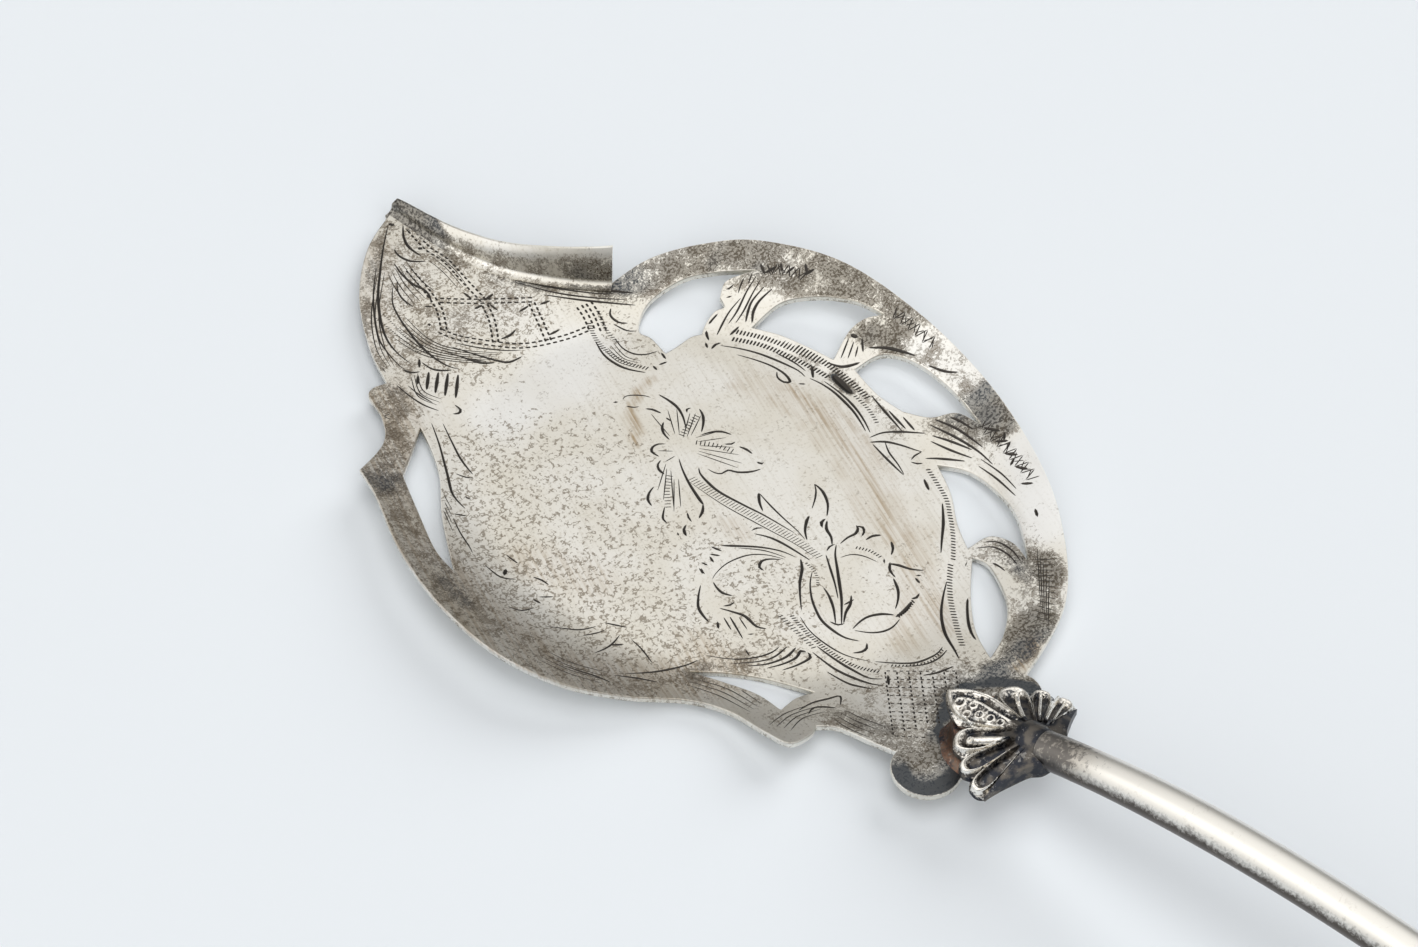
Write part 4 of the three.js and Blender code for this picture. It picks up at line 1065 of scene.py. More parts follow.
pit_strokes = [
    (1.0, 8.0, (-12, 26), (-16, 14), (-17, 2), (-12, -8), (-4, -16)),
    (0.8, 9.0, (-6, 26), (-6, 12), (-4, -2), (2, -14)),
    (0.5, 7.0, (4, 18), (4, 2), (8, -10)),
    (0.45, 6.0, (-4, 38), (4, 34)),
    (0.6, 6.0, (-4, 28), (6, 24), (11, 17)),
    (1.0, 8.0, (5, 50), (12, 57), (17, 62)),
    (1.0, 7.5, (10, 44), (19, 46)),
    (0.7, 5.0, (-4, -26), (2, -36), (8, -39)),
    (0.5, 3.4, (12, -24), (18, -26)),
    (0.25, 8.0, (24, 16), (24, -4), (18, -18)),
    (0.8, 3.5, (24, 33), (23, 27)),
    (0.9, 4.4, (-8, 44), (-18, 35), (-23.6, 22), (-27, 8), (-26.5, -4), (-20, -13), (-12, -18)),
]
# Leaves of the engraving that are free of pits.
smooth_strokes = [
    (0.85, 1.0, (8.4, -10.4), (6.1, -7.3), (3.3, -5.8), (0, -6.2), (-2.5, -7.9), (-4.2, -10.4)),
    (0.85, 1.2, (-4.2, -10.4), (-3.8, -13), (-5, -16.4)),
    (0.7, 1.2, (11, 4), (11.2, -6), (9.6, -12)),
    (0.6, 1.6, (13.4, 20), (14.2, 14), (17.6, 16.6)),
]


def line_distance(line, points):
    """How far each point lies from a line through several places."""
    away = np.full(len(points), np.inf)
    for start, end in zip(np.array(line, float), np.array(line[1:], float)):
        run = end - start
        share = np.clip((points - start) @ run / (run @ run), 0, 1)
        away = np.minimum(away, np.linalg.norm(points - start - share[:, None] * run, axis=1))
    return away


def soft_strokes(strokes, points):
    """The strokes' amounts at the points, added up where strokes overlap."""
    total = np.zeros(len(points))
    for amount, width, *line in strokes:
        inside = smooth(1.5 * width, 0.5 * width, line_distance(line, points))
        total = 1 - (1 - total) * (1 - amount * inside)
    return total


def filled(top, under, lip):
    """One value for each of the blade's points, with a constant for the underside and one for the lip."""
    return np.concatenate([top, np.full(len(under_plan), under), np.broadcast_to(lip, len(lip_points))])


# The lip's inner face is tarnished and darkened further by painted shade. It is darker towards both ends and
# lighter along its foot, and its rim is bare.
BACK_TARNISH = 0.35
step_of_lip = np.repeat(np.linspace(0, 1, LIP_STEPS), per_ring)
inner_face = np.tile(np.arange(per_ring) < LIP_SECTION_STEPS, LIP_STEPS)
up_ring = np.concatenate([np.linspace(0, 1, LIP_SECTION_STEPS), np.linspace(1, 0, LIP_SECTION_STEPS)])
up_lip = np.tile(up_ring, LIP_STEPS)
lip_ends = np.maximum(0.6 * smooth(0.34, 0.04, step_of_lip), smooth(0.56, 0.8, step_of_lip))
lip_rim = up_lip - 0.4 * smooth(0.7, 0.86, step_of_lip)
lip_foot = smooth(0.14, 0.22, up_lip) * smooth(0.38, 0.3, up_lip) * smooth(0.55, 0.3, step_of_lip)
inner_tarnish_and_shade = (0.42 + 0.5 * lip_ends) * (1 - 0.8 * lip_foot)
lip_tarnish_and_shade = np.where(inner_face, inner_tarnish_and_shade, BACK_TARNISH) * smooth(0.92, 0.7, lip_rim)

# The sheet's rounded edges are worn clean. Each row is a name and the values of the top, the
# underside and the lip.
edge_share = 1 - np.minimum(edge_distance(plan) / EDGE_ROUNDING, 1)
pale = soft_strokes(painted_highlight_strokes, plan)
grime = soft_strokes(grime_strokes, plan) * (1 - pale) * (1 - edge_share)
pitted = soft_strokes(pit_strokes, plan) * (1 - soft_strokes(smooth_strokes, plan)) * (1 - edge_share)
# On the lip, the grime share also holds the painted shade of the inner face.
blade_shares = [
    ("groove", groove, 0, 0),
    ("grime", grime, BACK_TARNISH, lip_tarnish_and_shade),
    ("pale", pale, 0, 0),
    ("brown", soft_strokes(brown_strokes, plan), 0, 0),
    ("pits", pitted, 0.4, 0.3),
]
for name, top, under, lip in blade_shares:
    set_shares(blade.data, name, filled(top, under, lip))


def group_sockets(tree, **inputs):
    """A node group's inputs, with their usual values, as sockets to build on."""
    for name, value in inputs.items():
        kind = "NodeSocketVector" if value is None else "NodeSocketFloat"
        socket = tree.interface.new_socket(name, in_out="INPUT", socket_type=kind)
        if value is not None:
            socket.default_value = value
    return add_node(tree, "NodeGroupInput", (-1000, 0)).outputs


def group_result(tree, **results):
    """The group's outputs, one for each named socket."""
    for name in results:
        tree.interface.new_socket(name, in_out="OUTPUT", socket_type="NodeSocketFloat")
    add_node(tree, "NodeGroupOutput", (600, 0), *results.values())


def noise(tree, place, where, scale, detail, **settings):
    """The value of a cloudy pattern where the piece is."""
    node = add_node(tree, "ShaderNodeTexNoise", place, Vector=where, Scale=scale, Detail=detail, **settings)
    return node.outputs["Fac"]


# Tarnish with ragged borders: where the amount rises, it covers more of a cloudy, grainy pattern.
tarnish = bpy.data.node_groups.new("tarnish", "ShaderNodeTree")
given = group_sockets(tarnish, Place=None, Amount=0.5, Grain=2600.0, Evenness=0.96)
wide_grain = maths(tarnish, (-800, -200), "MULTIPLY", given["Grain"], 0.16)
cloud = noise(tarnish, (-600, 100), given["Place"], wide_grain, 5, Roughness=0.62)
grain = noise(tarnish, (-600, -200), given["Place"], given["Grain"], 2, Roughness=0.6, Distortion=0.6)
both = maths(tarnish, (-400, 0), "ADD", cloud, grain)
pattern = add_node(tarnish, "ShaderNodeMapRange", (-200, 0), both, 0.72, 1.28).outputs["Result"]
covered = soft_step(tarnish, (200, 0), maths(tarnish, (0, 0), "ADD", pattern, given["Amount"]), 0.76, 1.24)
even = maths(tarnish, (200, -200), "MULTIPLY", soft_step(tarnish, (0, -200), given["Amount"], 0.7, 1.0),
             given["Evenness"])
group_result(tarnish, Cover=maths(tarnish, (400, 0), "MAXIMUM", covered, even), Pattern=pattern)

# Pits: short crooked marks in the metal, in pieces of one thin contour of a noise.
pitting = bpy.data.node_groups.new("pitting", "ShaderNodeTree")
given = group_sockets(pitting, Place=None, Density=0.5)
contour = noise(pitting, (-800, 100), given["Place"], 1600, 1.2, Roughness=0.5)
aside = maths(pitting, (-700, 100), "SUBTRACT", contour, 0.5)
away = maths(pitting, (-600, 100), "ABSOLUTE", aside)
marks = soft_step(pitting, (-400, 100), away, 0.03, 0.09, 1.0, 0.0)
broken = noise(pitting, (-800, -200), given["Place"], 1100, 1.0, Roughness=0.6)
chance = maths(pitting, (-500, -200), "MULTIPLY_ADD", given["Density"], 0.34, broken)
unbroken = soft_step(pitting, (-200, -200), chance, 0.78, 0.88)
group_result(pitting, Marks=maths(pitting, (0, 0), "MULTIPLY", marks, unbroken))


def use_group(tree, group, place, **values):
    """The outputs of a node group that is used with these values."""
    return add_node(tree, "ShaderNodeGroup", place, node_tree=group, **values).outputs


def share_of(tree, place, name):
    """The number that each point of the mesh has under this name."""
    return add_node(tree, "ShaderNodeAttribute", place, attribute_name=name).outputs["Fac"]


def tinted(tree, place, share, below, above):
    """The colour below, covered by the colour above where the share is 1."""
    node = add_node(tree, "ShaderNodeMix", place, data_type="RGBA", Factor=share, A=below, B=above)
    return node.outputs["Result"]


def finish_metal(tree, shader, color, roughness):
    """Metal of this colour and roughness."""
    feed(tree, shader.inputs["Base Color"], color)
    feed(tree, shader.inputs["Roughness"], roughness)
    shader.inputs["Metallic"].default_value = 1


# The blade's silver, lightly scratched one way and dusty, with painted highlights in pale patches, under
# brown stains, pits, a film of tarnish that goes from brown to blue-black, and black in the cuts.
WARM_SILVER = (0.78, 0.75, 0.675, 1)
PALE_SILVER = (0.85, 0.835, 0.79, 1)
HIGHLIGHT_SILVER = (0.92, 0.93, 0.94, 1)
SCRATCH_GREY = (0.5, 0.46, 0.39, 1)
DUST_BROWN = (0.42, 0.37, 0.28, 1)
STAIN_BROWN = (0.36, 0.25, 0.13, 1)
PIT_BROWN = (0.17, 0.13, 0.085, 1)
THIN_FILM = (0.2, 0.165, 0.125, 1)
BROWN_FILM = (0.1, 0.083, 0.062, 1)
BLUE_FILM = (0.06, 0.068, 0.08, 1)
THICK_FILM = (0.045, 0.053, 0.064, 1)
CUT_BLACK = (0.055, 0.05, 0.045, 1)
SCRATCH_DEGREES = 66
SCRATCH_LENGTH, SCRATCH_WIDTH = 0.02, 0.0004

material, tree, shader = new_material("blade_silver")
where = add_node(tree, "ShaderNodeTexCoord", (-2000, 0)).outputs["Object"]
cover = use_group(tree, tarnish, (-1600, 200), Place=where, Amount=share_of(tree, (-1800, 300), "grime"))
worms = use_group(tree, pitting, (-1600, -200), Place=where, Density=share_of(tree, (-1800, -200), "pits"))
cloudy = noise(tree, (-1600, 600), where, scale=90, detail=4)
clean = tinted(tree, (-1300, 600), soft_step(tree, (-1450, 600), cloudy, 0.35, 0.65), WARM_SILVER,
               PALE_SILVER)
drawn = add_node(tree, "ShaderNodeMapping", (-1800, 1200), where, vector_type="TEXTURE",
                 Rotation=(0, 0, math.radians(SCRATCH_DEGREES)),
                 Scale=(SCRATCH_LENGTH, SCRATCH_WIDTH, 1)).outputs["Vector"]
scratches = noise(tree, (-1600, 1200), drawn, scale=1, detail=3)
clean = tinted(tree, (-1250, 650), soft_step(tree, (-1450, 1200), scratches, 0.5, 0.7, 0.0, 0.2), clean,
               SCRATCH_GREY)
dusty = noise(tree, (-1600, 900), where, scale=2600, detail=2)
clean = tinted(tree, (-1200, 600), soft_step(tree, (-1450, 900), dusty, 0.54, 0.7, 0.0, 0.28), clean,
               DUST_BROWN)
# Painted highlight on the pale patches, mixed towards a bluish white.
painted_highlight_share = maths(tree, (-1250, 700), "MULTIPLY", share_of(tree, (-1400, 750), "pale"), 0.75)
clean = tinted(tree, (-1150, 700), painted_highlight_share, clean, HIGHLIGHT_SILVER)
brown = maths(tree, (-1300, 0), "MULTIPLY", share_of(tree, (-1500, 0), "brown"),
              soft_step(tree, (-1500, -100), scratches, 0.38, 0.62, 0.3, 1.0))
color = tinted(tree, (-1100, 400), brown, clean, STAIN_BROWN)
pit_cover = maths(tree, (-1000, 200), "MULTIPLY", worms["Marks"], 0.7)
color = tinted(tree, (-900, 400), pit_cover, color, PIT_BROWN)
blued = noise(tree, (-1000, 0), where, scale=110, detail=1)
film = tinted(tree, (-800, 0), soft_step(tree, (-900, 0), blued, 0.45, 0.62), BROWN_FILM, BLUE_FILM)
amount = share_of(tree, (-1100, -150), "grime")
film = tinted(tree, (-780, 0), soft_step(tree, (-900, -50), amount, 0.35, 0.8), THIN_FILM, film)
film = tinted(tree, (-750, 0), soft_step(tree, (-900, -100), amount, 0.85, 1.0), film, THICK_FILM)
worn = maths(tree, (-850, 300), "MAXIMUM", soft_step(tree, (-1000, 300), dusty, 0.42, 0.62, 0.97, 0.6),
             soft_step(tree, (-1000, 250), amount, 0.84, 0.98, 0.0, 0.93))
color = tinted(tree, (-700, 400), maths(tree, (-800, 200), "MULTIPLY", cover["Cover"], worn), color, film)
cut_dark = soft_step(tree, (-600, -200), share_of(tree, (-800, -200), "groove"), 0.0, 0.35)
color = tinted(tree, (-500, 400), cut_dark, color, CUT_BLACK)
finish_metal(tree, shader, color, soft_step(tree, (-300, 0), cover["Cover"], 0.0, 1.0, 0.3, 0.45))
blade.data.materials.append(material)
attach(blade, "root")
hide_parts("blade")


# Shell mount: one casting over the joint, seven lobes with thin raised rims round a hub, chased with
# rings, ribs and hollows, on a wedge foot that is soldered to the heel and with a boss for the handle.
HUB_Y = -58
SHELL_TOP, SHELL_RIM, SIDE_DROP = 11.3, 8.7, 1.2
SHELL_THICKNESS, SHELL_EDGE, FLUTE_DEPTH = 1.1, 0.55, 0.55
BACK_FLANGE = 1.1
EDGE_DROP = 0.45
DOME_POWER = 1.4
LOBE_SQUARENESS = 3.4
SHELL_START, SHELL_RINGS = 0.04, 130
UNDERSIDE_SHARES = (1, 0.6, 0.2)
BACK_STEP = 0.3
# Each lobe: degrees to the right of straight ahead, half its spread, length, the share of that length
# that is left at its sides, roundness, the number of points across it and the depth inside its rim.
lobes = [
    (-76.5, 9.5, 9.4, 0.9, 2.6, 40, 0.75),
    (-57, 10, 9.4, 0.88, 2.6, 40, 0.7),
    (-32.5, 14.5, 9.8, 0.86, 2.6, 60, 0.6),
    (0, 18, 13.6, 0.72, 1.1, 100, 0),
    (32.5, 14.5, 10, 0.92, 2.6, 60, 0.5),
    (57, 10, 9.5, 0.94, 2.6, 40, 0.45),
    (76.5, 9.5, 9.4, 0.95, 2.6, 40, 0.45),
]
RIM_HEIGHT = 0.22
# Where a lobe's rim rises and falls, its hollow starts and its edge turns down, from 0 on its edge to
# 1 in its middle, and between which shares of its length these forms begin.
RIM_RISES, RIM_FALLS = (0, 0.04), (0.15, 0.1)
HOLLOW_STARTS, EDGE_TURNS = (0.14, 0.3), (0.05, 0)
LOBE_STARTS = (0.2, 0.45)
# The chasing, in plan. Each row is a height, for a hollow its depth, half a width and a line's points.
ridges = [
    (0.2, 0.24, (1.6, -47.4), (2, -49), (1.9, -50.4), (1.4, -52.6)),
    (0.22, 0.2, (0.1, -47.6), (0.3, -49.4), (0, -52.4), (-0.3, -56)),
    (0.9, 0.58, (-4.5, -51.6), (-3.4, -53.6), (-2.4, -55.3)),
    (0.6, 0.36, (4.6, -51.5), (3.1, -52.9), (1.1, -55.4)),
    (0.5, 0.28, (6.8, -53.4), (4.6, -54.9), (2.4, -56.5)),
    (0.5, 0.22, (8, -55.1), (5.4, -56), (3, -57)),
    (0.4, 0.2, (8.2, -56), (5.8, -56.8), (3.2, -57.7)),
]
hollows = [
    (0.4, 0.34, (0.4, -46.7), (0.9, -48)),
    (0.55, 0.5, (1.2, -48.8), (1, -50.4), (0.7, -52)),
    (0.4, 0.32, (0.4, -53), (0.2, -55.8)),
    (0.3, 0.3, (-2.2, -49.6), (-1.7, -51.4)),
]
RING_HEIGHT = 0.22
FIELD_TARNISH = 0.58
HUB_TARNISH = 1.0
# Rings: x, y and radius of each.
rings_on_lobes = [
    (-0.8, -47.1, 0.74), (-0.4, -48.8, 0.55), (-1.8, -48.9, 0.58), (-1.2, -50.3, 0.58), (-1, -51.8, 0.56),
    (-0.9, -53.2, 0.5), (-0.9, -54.5, 0.44), (-0.8, -55.6, 0.36), (4.8, -51.2, 0.5), (3.2, -52.7, 0.34),
    (6.9, -53.5, 0.4), (-4.6, -51.7, 0.4),
]


def shell_dome(degrees, share):
    """The dome's height in a direction, at a share of the way out from the hub."""
    from_front = np.minimum(np.abs(degrees), np.abs(360 - degrees))
    sideways = np.minimum(from_front / 90, 1)
    return SHELL_TOP - (SHELL_TOP - SHELL_RIM) * share ** DOME_POWER - SIDE_DROP * (sideways * share) ** 2


def chased(points):
    """The chasing at places on the fan: its height, how shielded from polishing, how polished."""
    height = np.zeros(len(points))
    shielded, polished = np.full(len(points), FIELD_TARNISH), np.zeros(len(points))
    for drop, half, *line in hollows:
        inside = smooth(1.3 * half, 0.3 * half, line_distance(line, points))
        height -= drop * inside
        shielded = np.maximum(shielded, inside)
    for rise, half, *line in ridges:
        inside = np.sqrt(np.clip(1 - (line_distance(line, points) / half) ** 2, 0, 1))
        height += rise * inside
        polished = np.maximum(polished, inside ** 0.6)
    for x, y, radius in rings_on_lobes:
        away = np.linalg.norm(points - (x, y), axis=1) / radius
        height += RING_HEIGHT * (np.exp(-((away - 0.8) / 0.32) ** 2) - 0.8 * np.exp(-(away / 0.4) ** 2))
        shielded = np.maximum(shielded, 0.9 * np.exp(-(away / 0.5) ** 2))
        polished = np.maximum(polished, np.exp(-((away - 0.85) / 0.22) ** 2))
    return height, shielded, polished


spokes = []
for middle, half, length, notch, roundness, count, depth in lobes:
    for across in np.linspace(-1, 1, count)[:-1]:
        cut_back = (1 - notch) * abs(across) ** roundness
        spokes.append((middle + across * half, across, length * (1 - cut_back), 1, depth))
# The back edge starts at the last lobe's side. Its second half mirrors the first.
side_degrees, side_length = middle + half, length * notch
side_x = side_length * math.sin(math.radians(side_degrees))
side_y = side_length * math.cos(math.radians(side_degrees))
back_half = spline([(side_x, side_y), (6.1, -0.5), (3.6, -1.7), (2.2, -2.9), (0, -3.4)], BACK_STEP)
back_line = np.vstack([back_half, back_half[-2:0:-1] * (-1, 1)])
for x, y in back_line:
    reach = math.hypot(x, y)
    spokes.append((math.degrees(math.atan2(x, y)) % 360, 1, reach, reach / side_length, 0))
degrees, across, length, fall, depth = np.array(spokes).T
turn = np.radians(degrees)
on_back = np.arange(len(spokes)) >= len(spokes) - len(back_line)
edge_depth = SHELL_EDGE + np.where(on_back, BACK_FLANGE * smooth(side_length, 4, length), 0)


def shell_ring(share, height):
    """A ring of points round the hub, at a share of each spoke's length."""
    reach = share * length
    return np.column_stack([reach * np.sin(turn), HUB_Y + reach * np.cos(turn), height])


steps = np.linspace(SHELL_START, 1, SHELL_RINGS)
relief, sunk = [], []
for share in steps:
    outward = np.clip((share - 0.5) / 0.5, 0, 1)
    from_edges = np.abs(across) ** LOBE_SQUARENESS + outward ** LOBE_SQUARENESS
    inside = 1 - from_edges ** (1 / LOBE_SQUARENESS)
    grown = smooth(*LOBE_STARTS, share) * ~on_back
    rim = smooth(*RIM_RISES, inside) * smooth(*RIM_FALLS, inside)
    hollow = smooth(*HOLLOW_STARTS, inside)
    height, shielded, polished = chased(shell_ring(share, 0 * turn)[:, :2])
    lowered = EDGE_DROP * smooth(*EDGE_TURNS, inside)
    relief.append(height * ~on_back + grown * (RIM_HEIGHT * rim - depth * hollow - lowered))
    # Tarnish gathers in the hollows and rings. The fan's back is darkened in full, tarnish and painted shade.
    tarnish_and_back_shade = np.maximum(shielded, np.where(depth > 0, hollow, on_back)) * (1 - polished)
    sunk.append(tarnish_and_back_shade * (1 - rim * grown))
sunk = np.array(sunk)
rings = [shell_ring(share, shell_dome(degrees, share * fall) + row) for share, row in zip(steps, relief)]
for share in UNDERSIDE_SHARES:
    thickness = SHELL_THICKNESS + (edge_depth - SHELL_THICKNESS) * share ** 2
    rings.append(shell_ring(share, shell_dome(degrees, share * fall) - FLUTE_DEPTH - thickness))


def lofted(rings):
    """Points and faces of a closed solid through rings of points, capped by a fan at each end."""
    count = len(rings[0])
    points = np.vstack(list(rings) + [rings[0].mean(axis=0)[None], rings[-1].mean(axis=0)[None]])
    first_cap, last_cap = len(points) - 2, len(points) - 1
    faces = ring_sides(len(rings), count)
    last = (len(rings) - 1) * count
    for side in range(count):
        after = (side + 1) % count
        faces.append((after, side, first_cap))
        faces.append((last + side, last + after, last_cap))
    return points, faces


HANDLE_LENGTH = 134
ROOT_HEIGHT, CROWN_HEIGHT, CROWN_BEHIND = 9.5, 16.5, 52
ROOT_RADIUS, ROD_RADIUS, END_RADIUS = 2.3, 2.5, 3.4
SWELL_LENGTH = 26
BOW_POWER = 2.5
DOME_START = HANDLE_LENGTH - END_RADIUS


def handle_line(behind):
    """The handle's middle line, by the distance behind the shell's hub."""
    rise = CROWN_HEIGHT - ROOT_HEIGHT
    to_crown = np.clip(behind / CROWN_BEHIND, 0, 1)
    bow = ROOT_HEIGHT + rise * (1 - (1 - to_crown) ** BOW_POWER)
    bow = bow + np.minimum(0, behind) * rise * BOW_POWER / CROWN_BEHIND
    fall = (CROWN_HEIGHT - END_RADIUS) * smooth(CROWN_BEHIND, DOME_START, behind)
    return np.column_stack([np.zeros_like(behind), HUB_Y - behind, bow - fall])


def rod_rings(behind, radii, sides):
    """Rings of points square to the handle's middle line."""
    line = handle_line(behind)
    ahead = handle_line(behind + 0.01) - handle_line(behind - 0.01)
    ahead /= np.linalg.norm(ahead, axis=1)[:, None]
    up = np.cross(ahead, (1, 0, 0))
    turn = np.linspace(0, 2 * np.pi, sides, endpoint=False)
    return [
        place + radius * (np.outer(np.cos(turn), (1, 0, 0)) + np.outer(np.sin(turn), rise))
        for place, rise, radius in zip(line, up, radii)
    ]


ROUND_SIDES = 56
boss_behind = np.array([-9, -8.6, -8, -6, -4, -2, -1.4, -0.8, 0, 0.6, 1.1, 1.28])
boss_radii = np.array([0.8, 1.6, 2.1, 2.3, 2.35, 2.45, 2.66, 2.72, 2.6, 2.45, 2.35, 2.32])
boss = lofted(rod_rings(boss_behind, boss_radii, ROUND_SIDES))

FOOT_BACK, FOOT_FRONT = -51.75, -46.6
FOOT_BACK_HALF, FOOT_FRONT_HALF = 4.7, 1.7
FOOT_TOP = 7.6
side_line = spline([(FOOT_BACK_HALF, FOOT_BACK), (4.1, -49.2), (FOOT_FRONT_HALF, FOOT_FRONT)], 0.4)
foot_plan = np.vstack([side_line, side_line[::-1] * (-1, 1)])
foot_out = -left_normals(foot_plan, True)
foot_rings = []
# The solder flares out where the foot meets the heel: share of the foot's height, then the flare.
for share, flare in ((0, 1.3), (0.04, 0.9), (0.12, 0.5), (0.25, 0.22), (0.5, 0.05), (1, 0)):
    place = foot_plan + foot_out * flare
    bottom = rise_at(place) + SHEET_GAUGE
    foot_rings.append(np.column_stack([place, bottom + (FOOT_TOP - bottom) * share]))
foot = lofted(foot_rings)

fan_points, fan_faces = lofted(rings)
points, faces = joined([(fan_points, [face[::-1] for face in fan_faces]), boss, foot])
shell = new_piece("fluted_shell", points, faces, sharp_degrees=50)
from_hub = np.linalg.norm(points[:, :2] - (0, HUB_Y), axis=1)
# The sunk share holds tarnish, and painted shade on the fan's back.
tarnished = np.full(len(points), HUB_TARNISH)
tarnished[:sunk.size] = np.maximum(sunk.ravel(), HUB_TARNISH * smooth(4.6, 2.8, from_hub[:sunk.size]))
set_shares(shell.data, "sunk", tarnished)
on_foot = np.arange(len(points)) >= len(points) - len(foot[0])
set_shares(shell.data, "rust", np.where(on_foot, 0.9, 0.0))

# The casting's silver, spotted brown, under a film of tarnish, which on the fan's back is also painted shade,
# and with rust round the solder.
CAST_SILVER = (0.9, 0.87, 0.81, 1)
CAST_SPOTS = (0.24, 0.2, 0.16, 1)
BLACK_FILM = (0.038, 0.041, 0.05, 1)
GREY_FILM = (0.13, 0.118, 0.105, 1)
SOLDER_RUST = (0.25, 0.13, 0.08, 1)

material, tree, shader = new_material("cast_silver")
where = add_node(tree, "ShaderNodeTexCoord", (-1800, 0)).outputs["Object"]
# The sunk share: tarnish, with painted shade on the fan's back.
hollow = share_of(tree, (-1600, 200), "sunk")
cover = use_group(tree, tarnish, (-1300, 200), Place=where, Amount=hollow, Grain=2600.0, Evenness=0.8)
spots = use_group(tree, tarnish, (-1300, -200), Place=where, Amount=0.3, Grain=3000.0, Evenness=0.0)
rusty = maths(tree, (-1100, -400), "MULTIPLY", share_of(tree, (-1300, -500), "rust"), spots["Pattern"])
spotted = maths(tree, (-1100, 0), "MULTIPLY", spots["Cover"], 0.4)
color = tinted(tree, (-900, 200), spotted, CAST_SILVER, CAST_SPOTS)
mottled = noise(tree, (-1300, 500), where, scale=700, detail=3)
film = tinted(tree, (-900, 500), soft_step(tree, (-1100, 500), mottled, 0.42, 0.62), BLACK_FILM, GREY_FILM)
color = tinted(tree, (-700, 200), cover["Cover"], color, film)
color = tinted(tree, (-500, 200), rusty, color, SOLDER_RUST)
finish_metal(tree, shader, color, soft_step(tree, (-500, -200), cover["Cover"], 0.0, 1.0, 0.24, 0.4))
shell.data.materials.append(material)
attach(shell, "root")
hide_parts("shell_mount")


# Handle: one round rod of silver, soldered to the shell's boss. It bows up behind the shell and comes
# down to the table at its plain domed end.
HANDLE_START = 1.3
ROD_STEPS = 150
DOME_DEGREES = (12, 24, 36, 48, 58, 68, 76, 83, 88)
body = np.linspace(HANDLE_START, DOME_START, ROD_STEPS)
dome = HANDLE_LENGTH - END_RADIUS * (1 - np.sin(np.radians(DOME_DEGREES)))
behind = np.concatenate([body, dome])
swell = (ROD_RADIUS - ROOT_RADIUS) * smooth(0, SWELL_LENGTH, behind)
end = (END_RADIUS - ROD_RADIUS) * smooth(CROWN_BEHIND, DOME_START, behind)
into_dome = np.clip((behind - DOME_START) / END_RADIUS, 0, 1)
radii = (ROOT_RADIUS + swell + end) * np.sqrt(1 - into_dome ** 2)

curve = bpy.data.curves.new("rod_line", "CURVE")
curve.dimensions = "3D"
rod_line = curve.splines.new("POLY")
rod_line.points.add(len(behind) - 1)
for point, place, radius in zip(rod_line.points, handle_line(behind), radii):
    point.co = (*(place * MM), 1)
    point.radius = radius * MM
rod = new_object("rod_line", curve)

# The rod's silver, with painted shade on its underside, and black near the shell.
ROD_SILVER = (0.84, 0.82, 0.77, 1)
ROD_NEAR_SHELL = (0.34, 0.3, 0.25, 1)
ROD_PAINTED_SHADE = (0.07, 0.058, 0.05, 1)
ROD_SPOTS = (0.36, 0.31, 0.25, 1)
ROD_FILM = (0.085, 0.08, 0.08, 1)

material, tree, shader = new_material("handle_silver")
where = add_node(tree, "ShaderNodeTexCoord", (-2000, 0)).outputs["Object"]
behind_hub = add_node(tree, "ShaderNodeSeparateXYZ", (-1800, -200), where).outputs["Y"]
near_shell = soft_step(tree, (-1600, -200), behind_hub, -0.071, -0.0585, -0.2, 0.92)
facing = add_node(tree, "ShaderNodeNewGeometry", (-2000, -500)).outputs["Normal"]
upward = add_node(tree, "ShaderNodeSeparateXYZ", (-1800, -500), facing).outputs["Z"]
cover = use_group(tree, tarnish, (-1300, 200), Place=where, Amount=near_shell, Grain=1900.0, Evenness=0.5)
spots = use_group(tree, tarnish, (-1300, -200), Place=where, Amount=0.1, Grain=2200.0, Evenness=0.0)
color = tinted(tree, (-1000, 400), soft_step(tree, (-1200, 500), near_shell, -0.2, 0.6, 0.0, 0.75),
               ROD_SILVER, ROD_NEAR_SHELL)
# Painted shade: the rod darkens where its surface faces down, with a ragged border.
uneven = maths(tree, (-1450, -500), "MULTIPLY_ADD", spots["Pattern"], 0.35, upward)
painted_underside_shade = soft_step(tree, (-1200, -500), uneven, 0.2, 0.76, 0.96, 0.0)
color = tinted(tree, (-950, 300), painted_underside_shade, color, ROD_PAINTED_SHADE)
color = tinted(tree, (-900, 200), maths(tree, (-1100, 0), "MULTIPLY", spots["Cover"], 0.2), color, ROD_SPOTS)
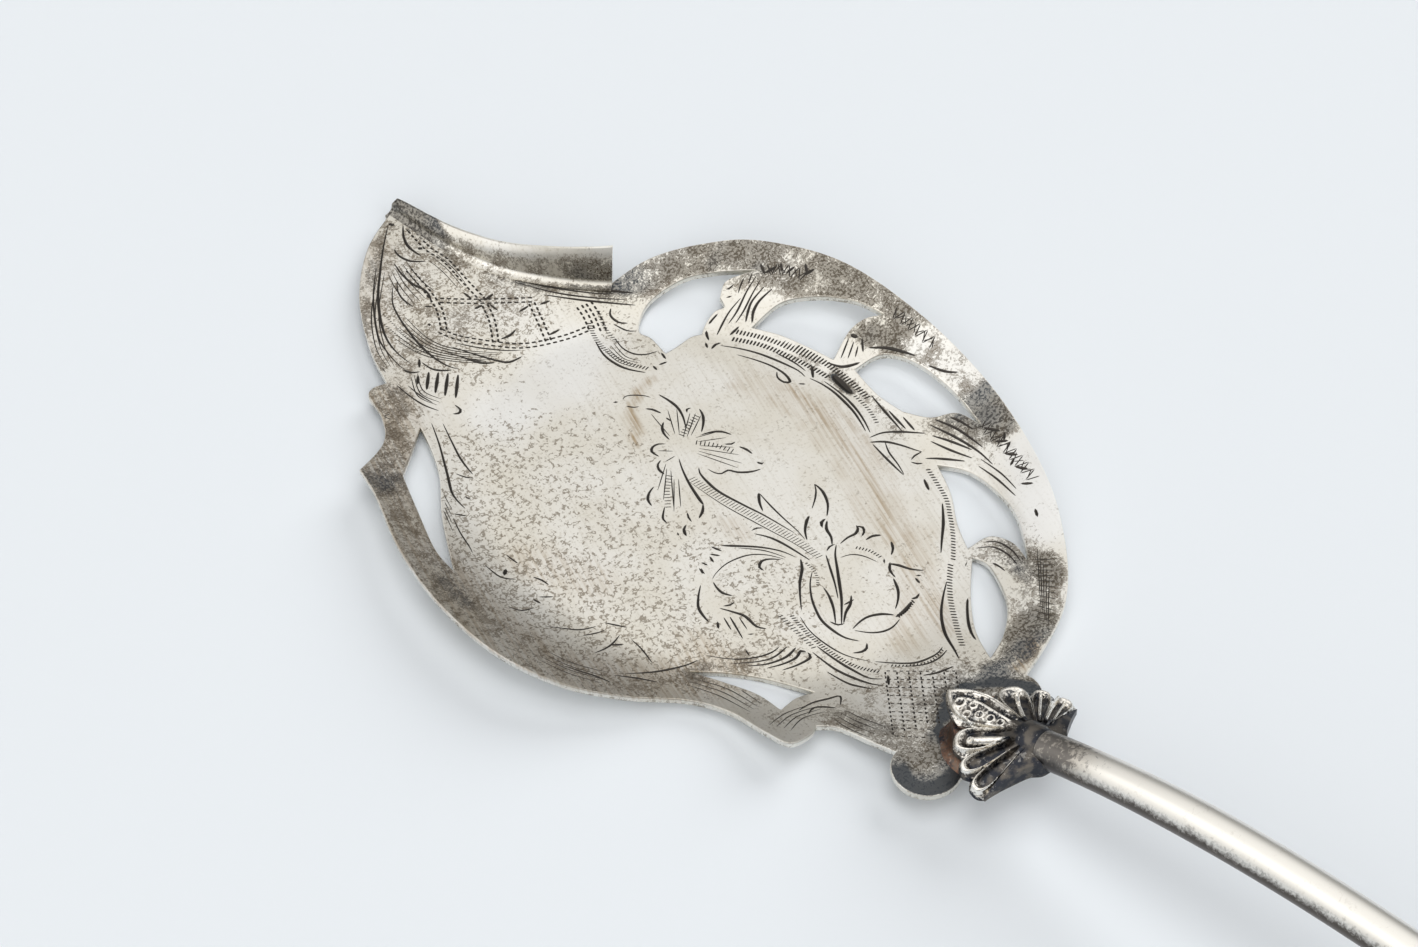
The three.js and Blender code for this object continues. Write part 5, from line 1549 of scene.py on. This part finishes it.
color = tinted(tree, (-700, 200), maths(tree, (-900, 0), "MULTIPLY", cover["Cover"], 0.75), color, ROD_FILM)
finish_metal(tree, shader, color, roughness=0.32)

tree = bpy.data.node_groups.new("round_rod", "GeometryNodeTree")
tree.interface.new_socket("Line", in_out="INPUT", socket_type="NodeSocketGeometry")
sides_socket = tree.interface.new_socket("Sides", in_out="INPUT", socket_type="NodeSocketInt")
tree.interface.new_socket("Rod", in_out="OUTPUT", socket_type="NodeSocketGeometry")
given = add_node(tree, "NodeGroupInput", (-600, 0))
profile = add_node(tree, "GeometryNodeCurvePrimitiveCircle", (-400, -150))
profile.inputs["Radius"].default_value = 1
reach = add_node(tree, "GeometryNodeInputRadius", (-400, -350))
sweep = add_node(tree, "GeometryNodeCurveToMesh", (-200, 0))
sweep.inputs["Fill Caps"].default_value = True
soft = add_node(tree, "GeometryNodeSetShadeSmooth", (0, 0))
real = add_node(tree, "GeometryNodeRealizeInstances", (200, 0))
coat = add_node(tree, "GeometryNodeSetMaterial", (400, 0))
coat.inputs["Material"].default_value = material
result = add_node(tree, "NodeGroupOutput", (600, 0))
joins = [
    (given, "Line", sweep, "Curve"),
    (given, "Sides", profile, "Resolution"),
    (profile, "Curve", sweep, "Profile Curve"),
    (reach, "Radius", sweep, "Scale"),
    (sweep, "Mesh", soft, "Geometry"),
    (soft, "Geometry", real, "Geometry"),
    (real, "Geometry", coat, "Geometry"),
    (coat, "Geometry", result, "Rod"),
]
for source, output, target, entry in joins:
    tree.links.new(source.outputs[output], target.inputs[entry])
modifier = rod.modifiers.new("round_rod", "NODES")
modifier.node_group = tree
modifier[sides_socket.identifier] = ROUND_SIDES


def finished_mesh(source, name):
    """The result of an object's Geometry Nodes as a plain mesh object; the source is removed."""
    graph = bpy.context.evaluated_depsgraph_get()
    mesh = bpy.data.meshes.new_from_object(source.evaluated_get(graph))
    bpy.data.objects.remove(source)
    return new_object(name, mesh)


handle = finished_mesh(rod, "handle_rod")
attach(handle, "root")
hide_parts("handle")
